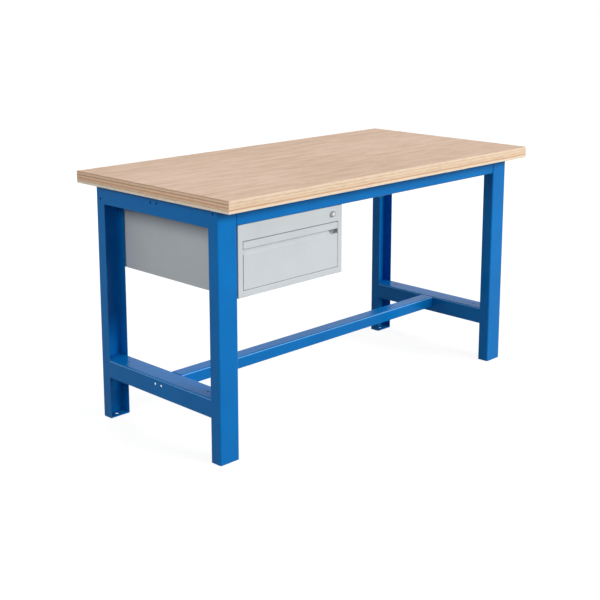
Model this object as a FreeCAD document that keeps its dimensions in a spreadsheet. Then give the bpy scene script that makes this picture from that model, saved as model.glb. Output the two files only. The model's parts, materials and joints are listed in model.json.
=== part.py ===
import FreeCAD, Part
import math
import os
from types import SimpleNamespace

import Sketcher
from FreeCAD import Placement, Rotation, Vector

# Driving sizes in millimetres: name, value and what it measures
SIZES = [
    ("top_length", 1500, "worktop, left to right"),
    ("top_depth", 750, "worktop, front to back"),
    ("top_thickness", 40, "worktop board"),
    ("top_edge_break", 1.5, "rounding of the board's edges"),
    ("frame_length", 1456, "steel frame over the legs, left to right"),
    ("frame_depth", 600, "steel frame over the legs, front to back"),
    ("leg_height", 800, "floor to the underside of the worktop"),
    ("leg_web", 77, "leg channel, width of the outer face"),
    ("leg_flange", 42, "leg channel, depth of the side walls"),
    ("steel_wall", 2.5, "sheet of the legs, rails and stretcher"),
    ("steel_bend", 5, "outer radius of the folds in that sheet"),
    ("foot_thickness", 3, "foot plate in the bottom of a leg"),
    ("anchor_hole", 14, "floor anchor hole in a foot plate, diameter"),
    ("rail_height", 60, "end rails and long top rails, height"),
    ("lower_rail_top", 206, "floor to the top of the lower end rails"),
    ("tongue_clearance", 0.3, "rail tongue to the side walls of the leg"),
    ("long_rail_depth", 40, "long top rails, depth of the flanges"),
    ("long_rail_setback", 2, "face of a long top rail behind the leg's face"),
    ("seam_gap", 1.5, "end of a long rail or stretcher to what it butts on"),
    ("end_plate", 5, "bolting plates in the ends of the long pieces"),
    ("stretcher_width", 54, "stretcher, front to back"),
    ("stretcher_height", 40, "stretcher, height"),
    ("bolt_diameter", 8, "frame bolts, shank"),
    ("bolt_clearance", 1, "hole of a bolt or screw over its shank, on the diameter"),
    ("bolt_head", 13, "frame bolts and nuts, across the flats"),
    ("bolt_head_height", 5.3, "frame bolts, head"),
    ("nut_height", 6.5, "frame nuts"),
    ("bolt_end", 2, "thread that stands past a nut"),
    ("bolt_pitch", 30, "spacing of the paired frame bolts"),
    ("pair_hole_drop", 20, "paired holes of an end rail below its top"),
    ("shelf_hole", 8, "shelf holes in the lower end rails, diameter"),
    ("shelf_hole_pitch", 400, "spacing of the shelf holes"),
    ("fit_clearance", 0.1, "hole that holds a shank firmly, on the diameter"),
    ("screw_diameter", 6, "worktop screws, shank"),
    ("screw_head", 10, "worktop screws, across the flats"),
    ("screw_head_height", 4, "worktop screws, head"),
    ("screw_depth", 26, "worktop screws, depth in the board"),
    ("end_screw_pitch", 300, "spacing of the screws in an end rail"),
    ("inner_screw_pitch", 380, "spacing of the inner screws in a long rail"),
    ("outer_screw_pitch", 1120, "spacing of the outer screws in a long rail"),
    ("cabinet_gap", 6, "cabinet side to the left legs"),
    ("cabinet_setback", 3, "cabinet front behind the legs' front face"),
    ("cabinet_back_gap", 7, "cabinet back in front of the legs' rear face"),
    ("cabinet_width", 460, "cabinet, left to right"),
    ("cabinet_height", 226, "cabinet, height"),
    ("sheet", 1.5, "sheet of the cabinet and the drawer front"),
    ("sheet_bend", 2, "outer radius of the folds in that sheet"),
    ("post_width", 20, "side bars of the cabinet front"),
    ("return_lip", 15, "folded lips round the drawer opening"),
    ("fascia_height", 52, "bar over the drawer opening"),
    ("sill_height", 20, "bar under the drawer opening"),
    ("hanger_diameter", 6, "cabinet bolts, shank"),
    ("hanger_head", 10, "cabinet bolts and nuts, across the flats"),
    ("hanger_head_height", 4, "cabinet bolts, head"),
    ("hanger_nut_height", 5, "cabinet nuts"),
    ("hanger_inset", 45, "cabinet bolts in from the cabinet's sides"),
    ("hanger_offset", 28, "cabinet bolts behind the face of a long rail"),
    ("runner_recess", 0.5, "runner's mounting face behind the edge of the opening"),
    ("runner_height", 45, "runner, outer member's height"),
    ("runner_thickness", 12.7, "runner, mounting face to drawer side"),
    ("runner_sheet", 1.2, "sheet of the runner members"),
    ("runner_front_gap", 2.8, "front end of the runners behind the drawer liner"),
    ("runner_rear_gap", 59.5, "rear end of the runners to the cabinet back"),
    ("middle_offset", 4, "middle member's web from the mounting face"),
    ("outer_tip_gap", 2.2, "outer member's flange tips to the drawer side"),
    ("middle_tip_gap", 1.7, "middle member's flange tips to the drawer side"),
    ("inner_tip_gap", 1.3, "inner member's flange tips to the middle web"),
    ("ball_diameter", 3, "runner balls"),
    ("ball_clearance", 0.3, "ball to its track"),
    ("ball_count", 5, "balls in one cage"),
    ("ball_pitch", 40, "spacing of the balls"),
    ("cage_width", 5, "ball cage strip, width"),
    ("cage_thickness", 1, "ball cage strip, thickness"),
    ("cage_margin", 8, "cage strip beyond its last ball"),
    ("cage_inset", 130, "middle of a cage from the runner's end"),
    ("bracket_height", 56, "runner bracket, height"),
    ("bracket_gap", 1, "ends of a runner bracket to its neighbours"),
    ("runner_screw", 4, "runner screws and drawer rivets, shank"),
    ("runner_screw_head", 7, "runner screws, head diameter"),
    ("runner_screw_head_height", 1.6, "runner screws, head"),
    ("runner_screw_length", 7, "runner screws, under the head"),
    ("runner_screw_inset", 40, "end screws from the runner's ends"),
    ("rivet_head", 8, "drawer rivets, head diameter"),
    ("rivet_head_height", 1.2, "drawer rivets, head"),
    ("rivet_tail", 6, "drawer rivets, closed end diameter"),
    ("rivet_tail_height", 1, "drawer rivets, closed end"),
    ("rivet_inset", 60, "end rivets from the runner's ends"),
    ("tray_sheet", 1.2, "sheet of the drawer tray and liner"),
    ("tray_lift", 11, "tray's underside above the opening's lower edge"),
    ("tray_head", 38, "tray's rim below the opening's upper edge"),
    ("tray_rear_gap", 32, "tray's rear wall to the cabinet back"),
    ("reveal", 2, "gap round the drawer front"),
    ("front_depth", 25, "drawer front, depth of its folds"),
    ("grip_band", 22, "drawer front, band over the grip"),
    ("grip_height", 18, "grip recess, height"),
    ("grip_depth", 16, "grip recess, depth under the band"),
    ("liner_inset", 0.5, "drawer liner inside the front's outline"),
    ("latch_width", 30, "latch button, width"),
    ("latch_clearance", 0.4, "latch button to the recess"),
    ("latch_inset", 0.8, "latch button behind the drawer's face"),
    ("latch_end_gap", 0.5, "latch button from the drawer front's end"),
    ("latch_rim", 8, "plain left end of the latch button"),
    ("latch_lip", 1.5, "right rim of the thumb hollow"),
    ("latch_sill", 4.5, "lower rim of the thumb hollow above the recess"),
    ("latch_hollow", 5, "thumb hollow behind the drawer's face"),
    ("latch_travel", 6, "latch button, sideways travel"),
    ("stem_width", 10, "latch stem, width"),
    ("stem_height", 6.8, "latch stem, height"),
    ("stem_level", 8, "latch stem's centre above the foot of the recess"),
    ("stem_clearance", 0.6, "latch stem to its slot"),
    ("slider_width", 36, "latch slider, width"),
    ("slider_height", 12, "latch slider, height"),
    ("slider_thickness", 2, "latch slider"),
    ("slider_gap", 0.5, "latch slider behind the recess sheet"),
    ("latch_screw", 3, "latch screw, shank"),
    ("latch_screw_head", 6, "latch screw, head diameter"),
    ("latch_screw_head_height", 1.8, "latch screw, head"),
    ("latch_screw_depth", 5, "latch screw, depth in the stem"),
    ("spring_radius", 2.5, "latch spring, coil radius at the wire's centre"),
    ("spring_wire", 0.7, "latch spring, wire diameter"),
    ("spring_turns", 7, "latch spring, turns"),
    ("spring_length", 20, "latch spring, length at rest"),
    ("spring_seat", 0.3, "latch spring's end to the slider and its stop"),
    ("stop_thickness", 1.5, "stop plate of the latch spring"),
    ("lock_inset", 28, "lock from the opening's right edge"),
    ("lock_drop", 24, "lock below the cabinet's top"),
    ("bezel_diameter", 20, "lock bezel"),
    ("bezel_height", 7, "lock bezel in front of the bar"),
    ("bezel_round", 1.2, "rounding of the bezel's rim"),
    ("barrel_diameter", 16, "lock barrel behind the bezel"),
    ("barrel_length", 17, "lock barrel behind the cabinet front"),
    ("plug_diameter", 11, "lock plug"),
    ("plug_clearance", 0.2, "lock plug in its bore, on the diameter"),
    ("plug_proud", 0.3, "lock plug in front of the bezel"),
    ("plug_square", 7, "square tail of the lock plug"),
    ("keyway_width", 1.6, "keyway, width"),
    ("keyway_height", 7.5, "keyway, height"),
    ("keyway_depth", 14, "keyway, depth"),
    ("lock_nut_flats", 21, "lock nut, across the flats"),
    ("lock_nut_height", 4, "lock nut"),
    ("cam_gap", 1, "cam behind the barrel"),
    ("cam_thickness", 2, "cam"),
    ("cam_reach", 38, "cam's tip from the lock's axis"),
    ("cam_width", 12, "cam, width"),
    ("cam_round", 3, "cam, corner radius"),
    ("cam_slot_gap", 2, "cam to the edges of its slot in the drawer front"),
    ("cam_screw", 4, "cam screw, shank"),
    ("cam_screw_head", 9, "cam screw, head diameter"),
    ("cam_screw_head_height", 2.5, "cam screw, head"),
    ("cam_screw_depth", 8, "cam screw, depth in the plug"),
]

NEAR = 1e-4
X_AXIS, Y_AXIS, Z_AXIS = range(3)


def as_size(item):
    """Let a plain number stand where a size is expected."""
    if isinstance(item, Size):
        return item
    return Size(float(item), f"({float(item)})")


class Size:
    """A length with the sheet expression that gives it, so that sums stay bound to the sheet."""

    def __init__(self, value, text):
        self.value = value
        self.text = text

    def __add__(self, other):
        other = as_size(other)
        return Size(self.value + other.value, f"({self.text} + {other.text})")

    def __sub__(self, other):
        other = as_size(other)
        return Size(self.value - other.value, f"({self.text} - {other.text})")

    def __mul__(self, other):
        other = as_size(other)
        return Size(self.value * other.value, f"({self.text} * {other.text})")

    def __truediv__(self, other):
        other = as_size(other)
        return Size(self.value / other.value, f"({self.text} / {other.text})")

    def __neg__(self):
        return Size(-self.value, f"(0 - {self.text})")


def root(size):
    """Square root of a size."""
    return Size(math.sqrt(size.value), f"sqrt({size.text})")


doc = FreeCAD.newDocument("workbench")
sheet = doc.addObject("Spreadsheet::Sheet", "Sizes")
for row, (alias, value, meaning) in enumerate(SIZES, start=1):
    sheet.set(f"A{row}", meaning)
    sheet.set(f"B{row}", str(value))
    sheet.setAlias(f"B{row}", alias)
doc.recompute()

d = SimpleNamespace(**{alias: Size(float(value), f"Sizes.{alias}") for alias, value, _ in SIZES})
nodes = []


def bind(thing, prop, size):
    """Tie one property to the sheet."""
    thing.setExpression(prop, as_size(size).text)


def place(thing, x=0, y=0, z=0, rotation=Rotation()):
    """Turn a thing and tie its place to the sheet."""
    thing.Placement = Placement(Vector(), rotation)
    for axis, size in zip("xyz", (x, y, z)):
        bind(thing, f"Placement.Base.{axis}", size)


def new_body(name, x=0, y=0, z=0, half_turn=False):
    """Start a named body at its place, turned half round about Z if asked."""
    body = doc.addObject("PartDesign::Body", name)
    body.Label = name
    place(body, x, y, z, Rotation(Vector(0, 0, 1), 180 if half_turn else 0))
    nodes.append(body)
    return body


def sketch_on(body, plane, offset=0):
    """Start a sketch on one of the body's own planes, moved along the plane's normal."""
    sketch = body.newObject("Sketcher::SketchObject", "Sketch")
    support = next(feature for feature in body.Origin.OriginFeatures if feature.Role == plane)
    sketch.AttachmentSupport = [(support, "")]
    sketch.MapMode = "FlatFace"
    bind(sketch, "AttachmentOffset.Base.z", offset)
    return sketch


def hold(sketch, geometry, point, x, y):
    """Hold a point of the sketch at its two distances from the origin."""
    for kind, size in (("DistanceX", x), ("DistanceY", y)):
        index = sketch.addConstraint(Sketcher.Constraint(kind, -1, 1, geometry, point, size.value))
        bind(sketch, f"Constraints[{index}]", size)


def draw_outline(sketch, points):
    """Draw a closed outline through the points."""
    corners = [(as_size(x), as_size(y)) for x, y in points]
    first = sketch.GeometryCount
    for here, there in zip(corners, corners[1:] + corners[:1]):
        ends = [Vector(x.value, y.value, 0) for x, y in (here, there)]
        sketch.addGeometry(Part.LineSegment(*ends))
    for step in range(len(corners)):
        follower = first + (step + 1) % len(corners)
        sketch.addConstraint(Sketcher.Constraint("Coincident", first + step, 2, follower, 1))
    for step, (x, y) in enumerate(corners):
        hold(sketch, first + step, 1, x, y)


def draw_circles(sketch, centres, diameter):
    """Draw equal circles about the centres."""
    for x, y in centres:
        x, y = as_size(x), as_size(y)
        circle = Part.Circle(Vector(x.value, y.value, 0), Vector(0, 0, 1), diameter.value / 2)
        index = sketch.addGeometry(circle)
        hold(sketch, index, 3, x, y)
        radius = sketch.addConstraint(Sketcher.Constraint("Radius", index, diameter.value / 2))
        bind(sketch, f"Constraints[{radius}]", diameter / 2)


def rectangle(x0, y0, x1, y1):
    """Corners of a rectangle between two opposite corners."""
    return [(x0, y0), (x1, y0), (x1, y1), (x0, y1)]


def hexagon(across_flats):
    """Corners of a hexagon about the origin, by its size across the flats."""
    corner = across_flats / math.sqrt(3)
    turns = [math.radians(60 * step) for step in range(6)]
    return [(corner * math.cos(turn), corner * math.sin(turn)) for turn in turns]


def channel(width, depth, wall):
    """Outline of a channel: its web along x at y = 0, its two walls rising to y = depth."""
    half = width / 2
    return [(-half, 0), (half, 0), (half, depth), (half - wall, depth), (half - wall, wall),
            (-half + wall, wall), (-half + wall, depth), (-half, depth)]


def pad(body, sketch, length, symmetric=False, reverse=False):
    """Raise the sketch along its normal, against it, or half each way."""
    feature = body.newObject("PartDesign::Pad", "Pad")
    feature.Profile = sketch
    feature.SideType = "Symmetric" if symmetric else "One side"
    feature.Reversed = reverse
    bind(feature, "Length", length)
    doc.recompute()


def pocket(body, sketch, depth=None, symmetric=False, reverse=False):
    """Cut the sketch against its normal, along it or both ways, to a depth or right through."""
    before = body.Shape.Volume
    feature = body.newObject("PartDesign::Pocket", "Pocket")
    feature.Profile = sketch
    feature.SideType = "Symmetric" if symmetric else "One side"
    feature.Reversed = reverse
    if depth is None:
        feature.Type = "ThroughAll"
    else:
        bind(feature, "Length", depth)
    doc.recompute()
    if before - body.Shape.Volume < NEAR:
        raise ValueError(f"{body.Label}: {feature.Label} cuts nothing")


def round_named(body, edges, radius):
    """Round the named edges of the body's last feature."""
    base = body.Tip
    feature = body.newObject("PartDesign::Fillet", "Fillet")
    feature.Base = (base, edges)
    bind(feature, "Radius", radius)
    doc.recompute()


def round_edges(body, axis, places, radius):
    """Round the edges that run along an axis through the given places across it."""
    across = [number for number in range(3) if number != axis]
    wanted = [[as_size(size).value for size in place] for place in places]
    edges = []
    for number, edge in enumerate(body.Tip.Shape.Edges, start=1):
        ends = [vertex.Point for vertex in edge.Vertexes]
        for spot in wanted:
            if all(abs(end[i] - at) < NEAR for end in ends for i, at in zip(across, spot)):
                edges.append(f"Edge{number}")
    if len(edges) < len(places):
        raise ValueError(f"{body.Label}: {len(edges)} edges found for {len(places)} places")
    round_named(body, edges, radius)


def round_channel(body, axis, width, depth_sign):
    """Round the two folds of a channel in the frame's sheet, outside and inside.

    depth_sign is 1 where the walls rise along the section's second axis and -1 where they hang."""
    half = width / 2
    inside = d.steel_wall * depth_sign
    round_edges(body, axis, [(-half, 0), (half, 0)], d.steel_bend)
    places = [(-half + d.steel_wall, inside), (half - d.steel_wall, inside)]
    round_edges(body, axis, places, d.steel_bend - d.steel_wall)


def cylinder(name, diameter, height, z=0):
    """A plain cylinder along Z."""
    solid = doc.addObject("Part::Cylinder", name)
    bind(solid, "Radius", as_size(diameter) / 2)
    bind(solid, "Height", height)
    place(solid, z=z)
    return solid


def hex_prism(name, across_flats, height, z=0):
    """A hexagonal prism along Z."""
    solid = doc.addObject("Part::Prism", name)
    solid.Polygon = 6
    bind(solid, "Circumradius", across_flats / math.sqrt(3))
    bind(solid, "Height", height)
    place(solid, z=z)
    return solid


def fused(name, solids):
    """Join solids into one piece."""
    piece = doc.addObject("Part::MultiFuse", name)
    piece.Shapes = solids
    return piece


def hex_bolt(name, across_flats, head_height, diameter, length):
    """A hexagon bolt: the head below z = 0 and the shank above."""
    head = hex_prism(f"{name}_head", across_flats, head_height, z=-head_height)
    shank = cylinder(f"{name}_shank", diameter, length)
    return fused(name, [head, shank])


def hex_nut(name, across_flats, height, bore):
    """A hexagon nut that stands on z = 0."""
    nut = doc.addObject("Part::Cut", name)
    nut.Base = hex_prism(f"{name}_blank", across_flats, height)
    nut.Tool = cylinder(f"{name}_bore", bore, height)
    return nut


def round_screw(name, head, head_height, diameter, length):
    """A round-headed screw: the head below z = 0 and the shank above."""
    top = cylinder(f"{name}_head", head, head_height, z=-head_height)
    shank = cylinder(f"{name}_shank", diameter, length)
    return fused(name, [top, shank])


def group(name, master, places):
    """One node of equal pieces: each place is a point and the way the piece's Z axis points."""
    links = []
    for number, (point, way) in enumerate(places, start=1):
        link = doc.addObject("App::Link", f"{name}_{number}")
        link.LinkedObject = master
        place(link, *point, rotation=Rotation(Vector(0, 0, 1), Vector(*way)))
        links.append(link)
    compound = doc.addObject("Part::Compound", name)
    compound.Label = name
    compound.Links = links
    nodes.append(compound)


# Places that several pieces share
half_length = d.frame_length / 2
half_depth = d.frame_depth / 2
leg_x = half_length - d.leg_web / 2
inner_x = half_length - d.leg_web
bolt_hole = d.bolt_diameter + d.bolt_clearance
bolt_y = half_depth - d.leg_flange / 2
bolt_heights = [d.leg_height - d.rail_height / 2 - d.bolt_pitch / 2,
                d.leg_height - d.rail_height / 2 + d.bolt_pitch / 2]
long_face_y = half_depth - d.long_rail_setback
cab_left = d.cabinet_gap - inner_x
cab_right = cab_left + d.cabinet_width
cab_mid = cab_left + d.cabinet_width / 2
cab_front = d.cabinet_setback - half_depth
cab_depth = d.frame_depth - d.cabinet_setback - d.cabinet_back_gap
cab_top = d.leg_height - d.rail_height
cab_bottom = cab_top - d.cabinet_height
opening_half = d.cabinet_width / 2 - d.post_width
opening_height = d.cabinet_height - d.fascia_height - d.sill_height
SIDES = (("left", -1), ("right", 1))
ENDS = (("front", -1), ("rear", 1))

# Screws that hold the worktop down, by their places in plan
end_screws = [(leg_x * side, d.end_screw_pitch / 2 * end) for _, side in SIDES for _, end in ENDS]
long_screw_y = long_face_y - d.long_rail_depth / 2
long_screw_x = [pitch / 2 * side for pitch in (d.outer_screw_pitch, d.inner_screw_pitch)
                for side in (-1, 1)]
long_screws = [(x, long_screw_y * end) for x in long_screw_x for _, end in ENDS]


def make_worktop():
    """Beech plywood board, drilled from below for its screws."""
    body = new_body("worktop", z=d.leg_height)
    board = sketch_on(body, "XY_Plane")
    half_x, half_y = d.top_length / 2, d.top_depth / 2
    draw_outline(board, rectangle(-half_x, -half_y, half_x, half_y))
    pad(body, board, d.top_thickness)
    every_edge = [f"Edge{number + 1}" for number in range(len(body.Tip.Shape.Edges))]
    round_named(body, every_edge, d.top_edge_break)
    pilots = sketch_on(body, "XY_Plane")
    draw_circles(pilots, end_screws + long_screws, d.screw_diameter + d.fit_clearance)
    pocket(body, pilots, depth=d.screw_depth + d.fit_clearance, reverse=True)


def make_leg(end_name, end, side_name, side):
    """Folded channel leg: web to the front or rear, walls towards the middle of the bench."""
    body = new_body(f"leg_{end_name}_{side_name}", leg_x * side, half_depth * end, half_turn=end > 0)
    section = sketch_on(body, "XY_Plane")
    draw_outline(section, channel(d.leg_web, d.leg_flange, d.steel_wall))
    pad(body, section, d.leg_height)
    round_channel(body, Z_AXIS, d.leg_web, 1)
    outer_is_positive = side * end < 0
    inner_holes = sketch_on(body, "YZ_Plane")
    draw_circles(inner_holes, [(d.leg_flange / 2, z) for z in bolt_heights], bolt_hole)
    pocket(body, inner_holes, reverse=not outer_is_positive)
    outer_hole = sketch_on(body, "YZ_Plane")
    draw_circles(outer_hole, [(d.leg_flange / 2, bolt_heights[side == end])], bolt_hole)
    pocket(body, outer_hole, reverse=outer_is_positive)


def make_foot_plate(end_name, end, side_name, side):
    """Plate welded into the bottom of a leg, with a hole for a floor anchor."""
    name = f"foot_plate_{end_name}_{side_name}"
    body = new_body(name, leg_x * side, half_depth * end, half_turn=end > 0)
    plate = sketch_on(body, "XY_Plane")
    half = d.leg_web / 2 - d.steel_wall
    draw_outline(plate, rectangle(-half, d.steel_wall, half, d.leg_flange))
    pad(body, plate, d.foot_thickness)
    corners = [(-half, d.steel_wall), (half, d.steel_wall)]
    round_edges(body, Z_AXIS, corners, d.steel_bend - d.steel_wall)
    hole = sketch_on(body, "XY_Plane")
    draw_circles(hole, [(0, d.leg_flange / 2)], d.anchor_hole)
    pocket(body, hole, symmetric=True)


def make_end_rail(level, top, side_name, side, hole_pitch, hole):
    """Inverted channel welded between two legs, its top run on into both as a tongue."""
    body = new_body(f"end_rail_{level}_{side_name}", leg_x * side, 0, top)
    section = sketch_on(body, "XZ_Plane")
    draw_outline(section, channel(d.leg_web, -d.rail_height, -d.steel_wall)[:3]
                 + [(d.leg_web / 2 - d.steel_wall, -d.rail_height),
                    (d.leg_web / 2 - d.steel_wall, -d.steel_wall),
                    (d.steel_wall - d.leg_web / 2, -d.steel_wall),
                    (d.steel_wall - d.leg_web / 2, -d.rail_height),
                    (-d.leg_web / 2, -d.rail_height)])
    rail_end = half_depth - d.leg_flange
    pad(body, section, rail_end * 2, symmetric=True)
    round_channel(body, Y_AXIS, d.leg_web, -1)
    tongues = sketch_on(body, "XY_Plane", -d.steel_wall)
    half = d.leg_web / 2 - d.steel_wall - d.tongue_clearance
    tip = half_depth - d.steel_wall
    for _, end in ENDS:
        draw_outline(tongues, rectangle(-half, rail_end * end, half, tip * end))
    pad(body, tongues, d.steel_wall)
    tips = [(half * across, tip * end) for across in (-1, 1) for _, end in ENDS]
    round_edges(body, Z_AXIS, tips, d.steel_bend - d.steel_wall + d.tongue_clearance)
    pair = sketch_on(body, "YZ_Plane")
    draw_circles(pair, [(d.bolt_pitch / 2 * way, -d.pair_hole_drop) for way in (-1, 1)], bolt_hole)
    pocket(body, pair, symmetric=True)
    top_holes = sketch_on(body, "XY_Plane")
    draw_circles(top_holes, [(0, hole_pitch / 2 * way) for way in (-1, 1)], hole)
    pocket(body, top_holes)


def make_long_rail(end_name, end):
    """Channel between the legs under the worktop, open towards the middle of the bench."""
    body = new_body(f"{end_name}_top_rail", 0, long_face_y * end, d.leg_height, half_turn=end > 0)
    section = sketch_on(body, "YZ_Plane")
    depth, height, wall = d.long_rail_depth, d.rail_height, d.steel_wall
    draw_outline(section, [(0, 0), (0, -height), (depth, -height), (depth, wall - height),
                           (wall, wall - height), (wall, -wall), (depth, -wall), (depth, 0)])
    pad(body, section, (inner_x - d.seam_gap) * 2, symmetric=True)
    round_edges(body, X_AXIS, [(0, 0), (0, -height)], d.steel_bend)
    round_edges(body, X_AXIS, [(wall, -wall), (wall, wall - height)], d.steel_bend - wall)
    screw_holes = sketch_on(body, "XY_Plane")
    centres = [(x, depth / 2) for x in long_screw_x]
    draw_circles(screw_holes, centres, d.screw_diameter + d.bolt_clearance)
    pocket(body, screw_holes, depth=wall)
    hanger_holes = sketch_on(body, "XY_Plane", -height)
    centres = [(x * -end, d.hanger_offset) for x in hanger_x]
    draw_circles(hanger_holes, centres, d.hanger_diameter + d.bolt_clearance)
    pocket(body, hanger_holes, depth=wall, reverse=True)


def make_rail_plate(end_name, end, side_name, side):
    """Plate welded into the end of a long top rail and bolted to the leg's inner wall."""
    name = f"{end_name}_rail_plate_{side_name}"
    body = new_body(name, inner_x * side, long_face_y * end, d.leg_height, half_turn=end > 0)
    plate = sketch_on(body, "YZ_Plane")
    wall, foot = d.steel_wall, d.steel_wall - d.rail_height
    draw_outline(plate, rectangle(wall, foot, d.long_rail_depth, -wall))
    centres = [(bolt_y * -1 + long_face_y, z - d.leg_height) for z in bolt_heights]
    draw_circles(plate, centres, bolt_hole)
    pad(body, plate, d.end_plate, reverse=side * end < 0)
    round_edges(body, X_AXIS, [(wall, -wall), (wall, foot)], d.steel_bend - wall)


def make_stretcher():
    """Inverted channel that ties the two lower end rails together."""
    body = new_body("stretcher", z=d.lower_rail_top)
    section = sketch_on(body, "YZ_Plane")
    half, height, wall = d.stretcher_width / 2, d.stretcher_height, d.steel_wall
    draw_outline(section, [(-half, -height), (-half, 0), (half, 0), (half, -height),
                           (half - wall, -height), (half - wall, -wall),
                           (wall - half, -wall), (wall - half, -height)])
    pad(body, section, (inner_x - d.seam_gap) * 2, symmetric=True)
    round_channel(body, X_AXIS, d.stretcher_width, -1)


def make_stretcher_plate(side_name, side):
    """Plate welded into one end of the stretcher and bolted to the lower end rail."""
    body = new_body(f"stretcher_plate_{side_name}", inner_x * side, 0, d.lower_rail_top)
    plate = sketch_on(body, "YZ_Plane")
    half = d.stretcher_width / 2 - d.steel_wall
    draw_outline(plate, rectangle(-half, -d.stretcher_height, half, -d.steel_wall))
    draw_circles(plate, [(d.bolt_pitch / 2 * way, -d.pair_hole_drop) for way in (-1, 1)], bolt_hole)
    pad(body, plate, d.end_plate, reverse=side > 0)
    corners = [(-half, -d.steel_wall), (half, -d.steel_wall)]
    round_edges(body, X_AXIS, corners, d.steel_bend - d.steel_wall)


def make_frame_fasteners():
    """Bolts with nuts at the long rails and the stretcher, and screws up into the worktop."""
    stack = d.steel_wall + d.end_plate
    bolt = hex_bolt("frame_bolt", d.bolt_head, d.bolt_head_height, d.bolt_diameter,
                    stack + d.nut_height + d.bolt_end)
    nut = hex_nut("frame_nut", d.bolt_head, d.nut_height, d.bolt_diameter + d.fit_clearance)
    spots = [(bolt_y * end, z) for z in bolt_heights for _, end in ENDS]
    spots += [(d.bolt_pitch / 2 * way, d.lower_rail_top - d.pair_hole_drop) for way in (-1, 1)]
    bolt_places = []
    nut_places = []
    for _, side in SIDES:
        inward = (-side, 0, 0)
        for y, z in spots:
            bolt_places.append((((inner_x + d.steel_wall) * side, y, z), inward))
            nut_places.append((((inner_x - d.end_plate) * side, y, z), inward))
    group("frame_bolts", bolt, bolt_places)
    group("frame_nuts", nut, nut_places)
    screw = hex_bolt("worktop_screw", d.screw_head, d.screw_head_height, d.screw_diameter,
                     d.steel_wall + d.screw_depth)
    seat = d.leg_height - d.steel_wall
    group("worktop_screws", screw, [((x, y, seat), (0, 0, 1)) for x, y in end_screws + long_screws])


# Cabinet bolts, by their places across the bench
hanger_x = [cab_left + d.hanger_inset, cab_right - d.hanger_inset]
hanger_y = long_face_y - d.hanger_offset


def make_cabinet_side(side_name, side):
    """Side panel whose front edge is folded into a post beside the drawer opening."""
    edge = cab_left if side < 0 else cab_right
    body = new_body(f"cabinet_{side_name}_side", edge, cab_front, cab_bottom)
    plan = sketch_on(body, "XY_Plane")
    post, lip, sheet_in = d.post_width, d.return_lip, d.sheet
    points = [(0, 0), (post, 0), (post, lip), (post - sheet_in, lip), (post - sheet_in, sheet_in),
              (sheet_in, sheet_in), (sheet_in, cab_depth), (0, cab_depth)]
    draw_outline(plan, [(as_size(x) * -side, y) for x, y in points])
    pad(body, plan, d.cabinet_height)
    round_edges(body, Z_AXIS, [(0, 0), (post * -side, 0)], d.sheet_bend)
    inner = [(sheet_in * -side, sheet_in), ((post - sheet_in) * -side, sheet_in)]
    round_edges(body, Z_AXIS, inner, d.sheet_bend - d.sheet)


def make_cabinet_fascia():
    """Bar over the drawer opening, folded at both edges and bored for the lock."""
    body = new_body("cabinet_fascia", cab_mid, cab_front, cab_top)
    section = sketch_on(body, "YZ_Plane")
    lip, height, wall = d.return_lip, d.fascia_height, d.sheet
    draw_outline(section, [(0, 0), (0, -height), (lip, -height), (lip, wall - height),
                           (wall, wall - height), (wall, -wall), (lip, -wall), (lip, 0)])
    pad(body, section, opening_half * 2, symmetric=True)
    round_edges(body, X_AXIS, [(0, 0), (0, -height)], d.sheet_bend)
    round_edges(body, X_AXIS, [(wall, -wall), (wall, wall - height)], d.sheet_bend - wall)
    hole = sketch_on(body, "XZ_Plane")
    draw_circles(hole, [(lock_x - cab_mid, -d.lock_drop)], d.barrel_diameter + d.fit_clearance * 2)
    pocket(body, hole, depth=wall)


def make_cabinet_bottom():
    """Bottom panel with the folded sill under the drawer opening."""
    body = new_body("cabinet_bottom", cab_mid, cab_front, cab_bottom)
    wide = d.cabinet_width / 2 - d.sheet
    lip, sill, wall, rear = d.return_lip, d.sill_height, d.sheet, cab_depth - d.sheet
    plan = sketch_on(body, "XY_Plane")
    draw_outline(plan, [(-opening_half, 0), (opening_half, 0), (opening_half, lip), (wide, lip),
                        (wide, rear), (-wide, rear), (-wide, lip), (-opening_half, lip)])
    pad(body, plan, wall)
    section = sketch_on(body, "YZ_Plane")
    draw_outline(section, [(0, 0), (0, sill), (lip, sill), (lip, sill - wall),
                           (wall, sill - wall), (wall, 0)])
    pad(body, section, opening_half * 2, symmetric=True)
    round_edges(body, X_AXIS, [(0, 0), (0, sill)], d.sheet_bend)
    round_edges(body, X_AXIS, [(wall, wall), (wall, sill - wall)], d.sheet_bend - wall)


def make_cabinet_top():
    """Top panel, bolted up to the long rails."""
    body = new_body("cabinet_top", cab_mid, cab_front, cab_top)
    plan = sketch_on(body, "XY_Plane", -d.sheet)
    wide = d.cabinet_width / 2 - d.sheet
    draw_outline(plan, rectangle(-wide, d.return_lip, wide, cab_depth))
    centres = [(x - cab_mid, hanger_y * end - cab_front) for x in hanger_x for _, end in ENDS]
    draw_circles(plan, centres, d.hanger_diameter + d.bolt_clearance)
    pad(body, plan, d.sheet)


def make_cabinet_back():
    """Back panel between the sides, under the top panel."""
    back = doc.addObject("Part::Box", "cabinet_back")
    back.Label = "cabinet_back"
    wide = d.cabinet_width - d.sheet * 2
    bind(back, "Length", wide)
    bind(back, "Width", d.sheet)
    bind(back, "Height", d.cabinet_height - d.sheet)
    place(back, cab_left + d.sheet, cab_front + cab_depth - d.sheet, cab_bottom)
    nodes.append(back)


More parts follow.
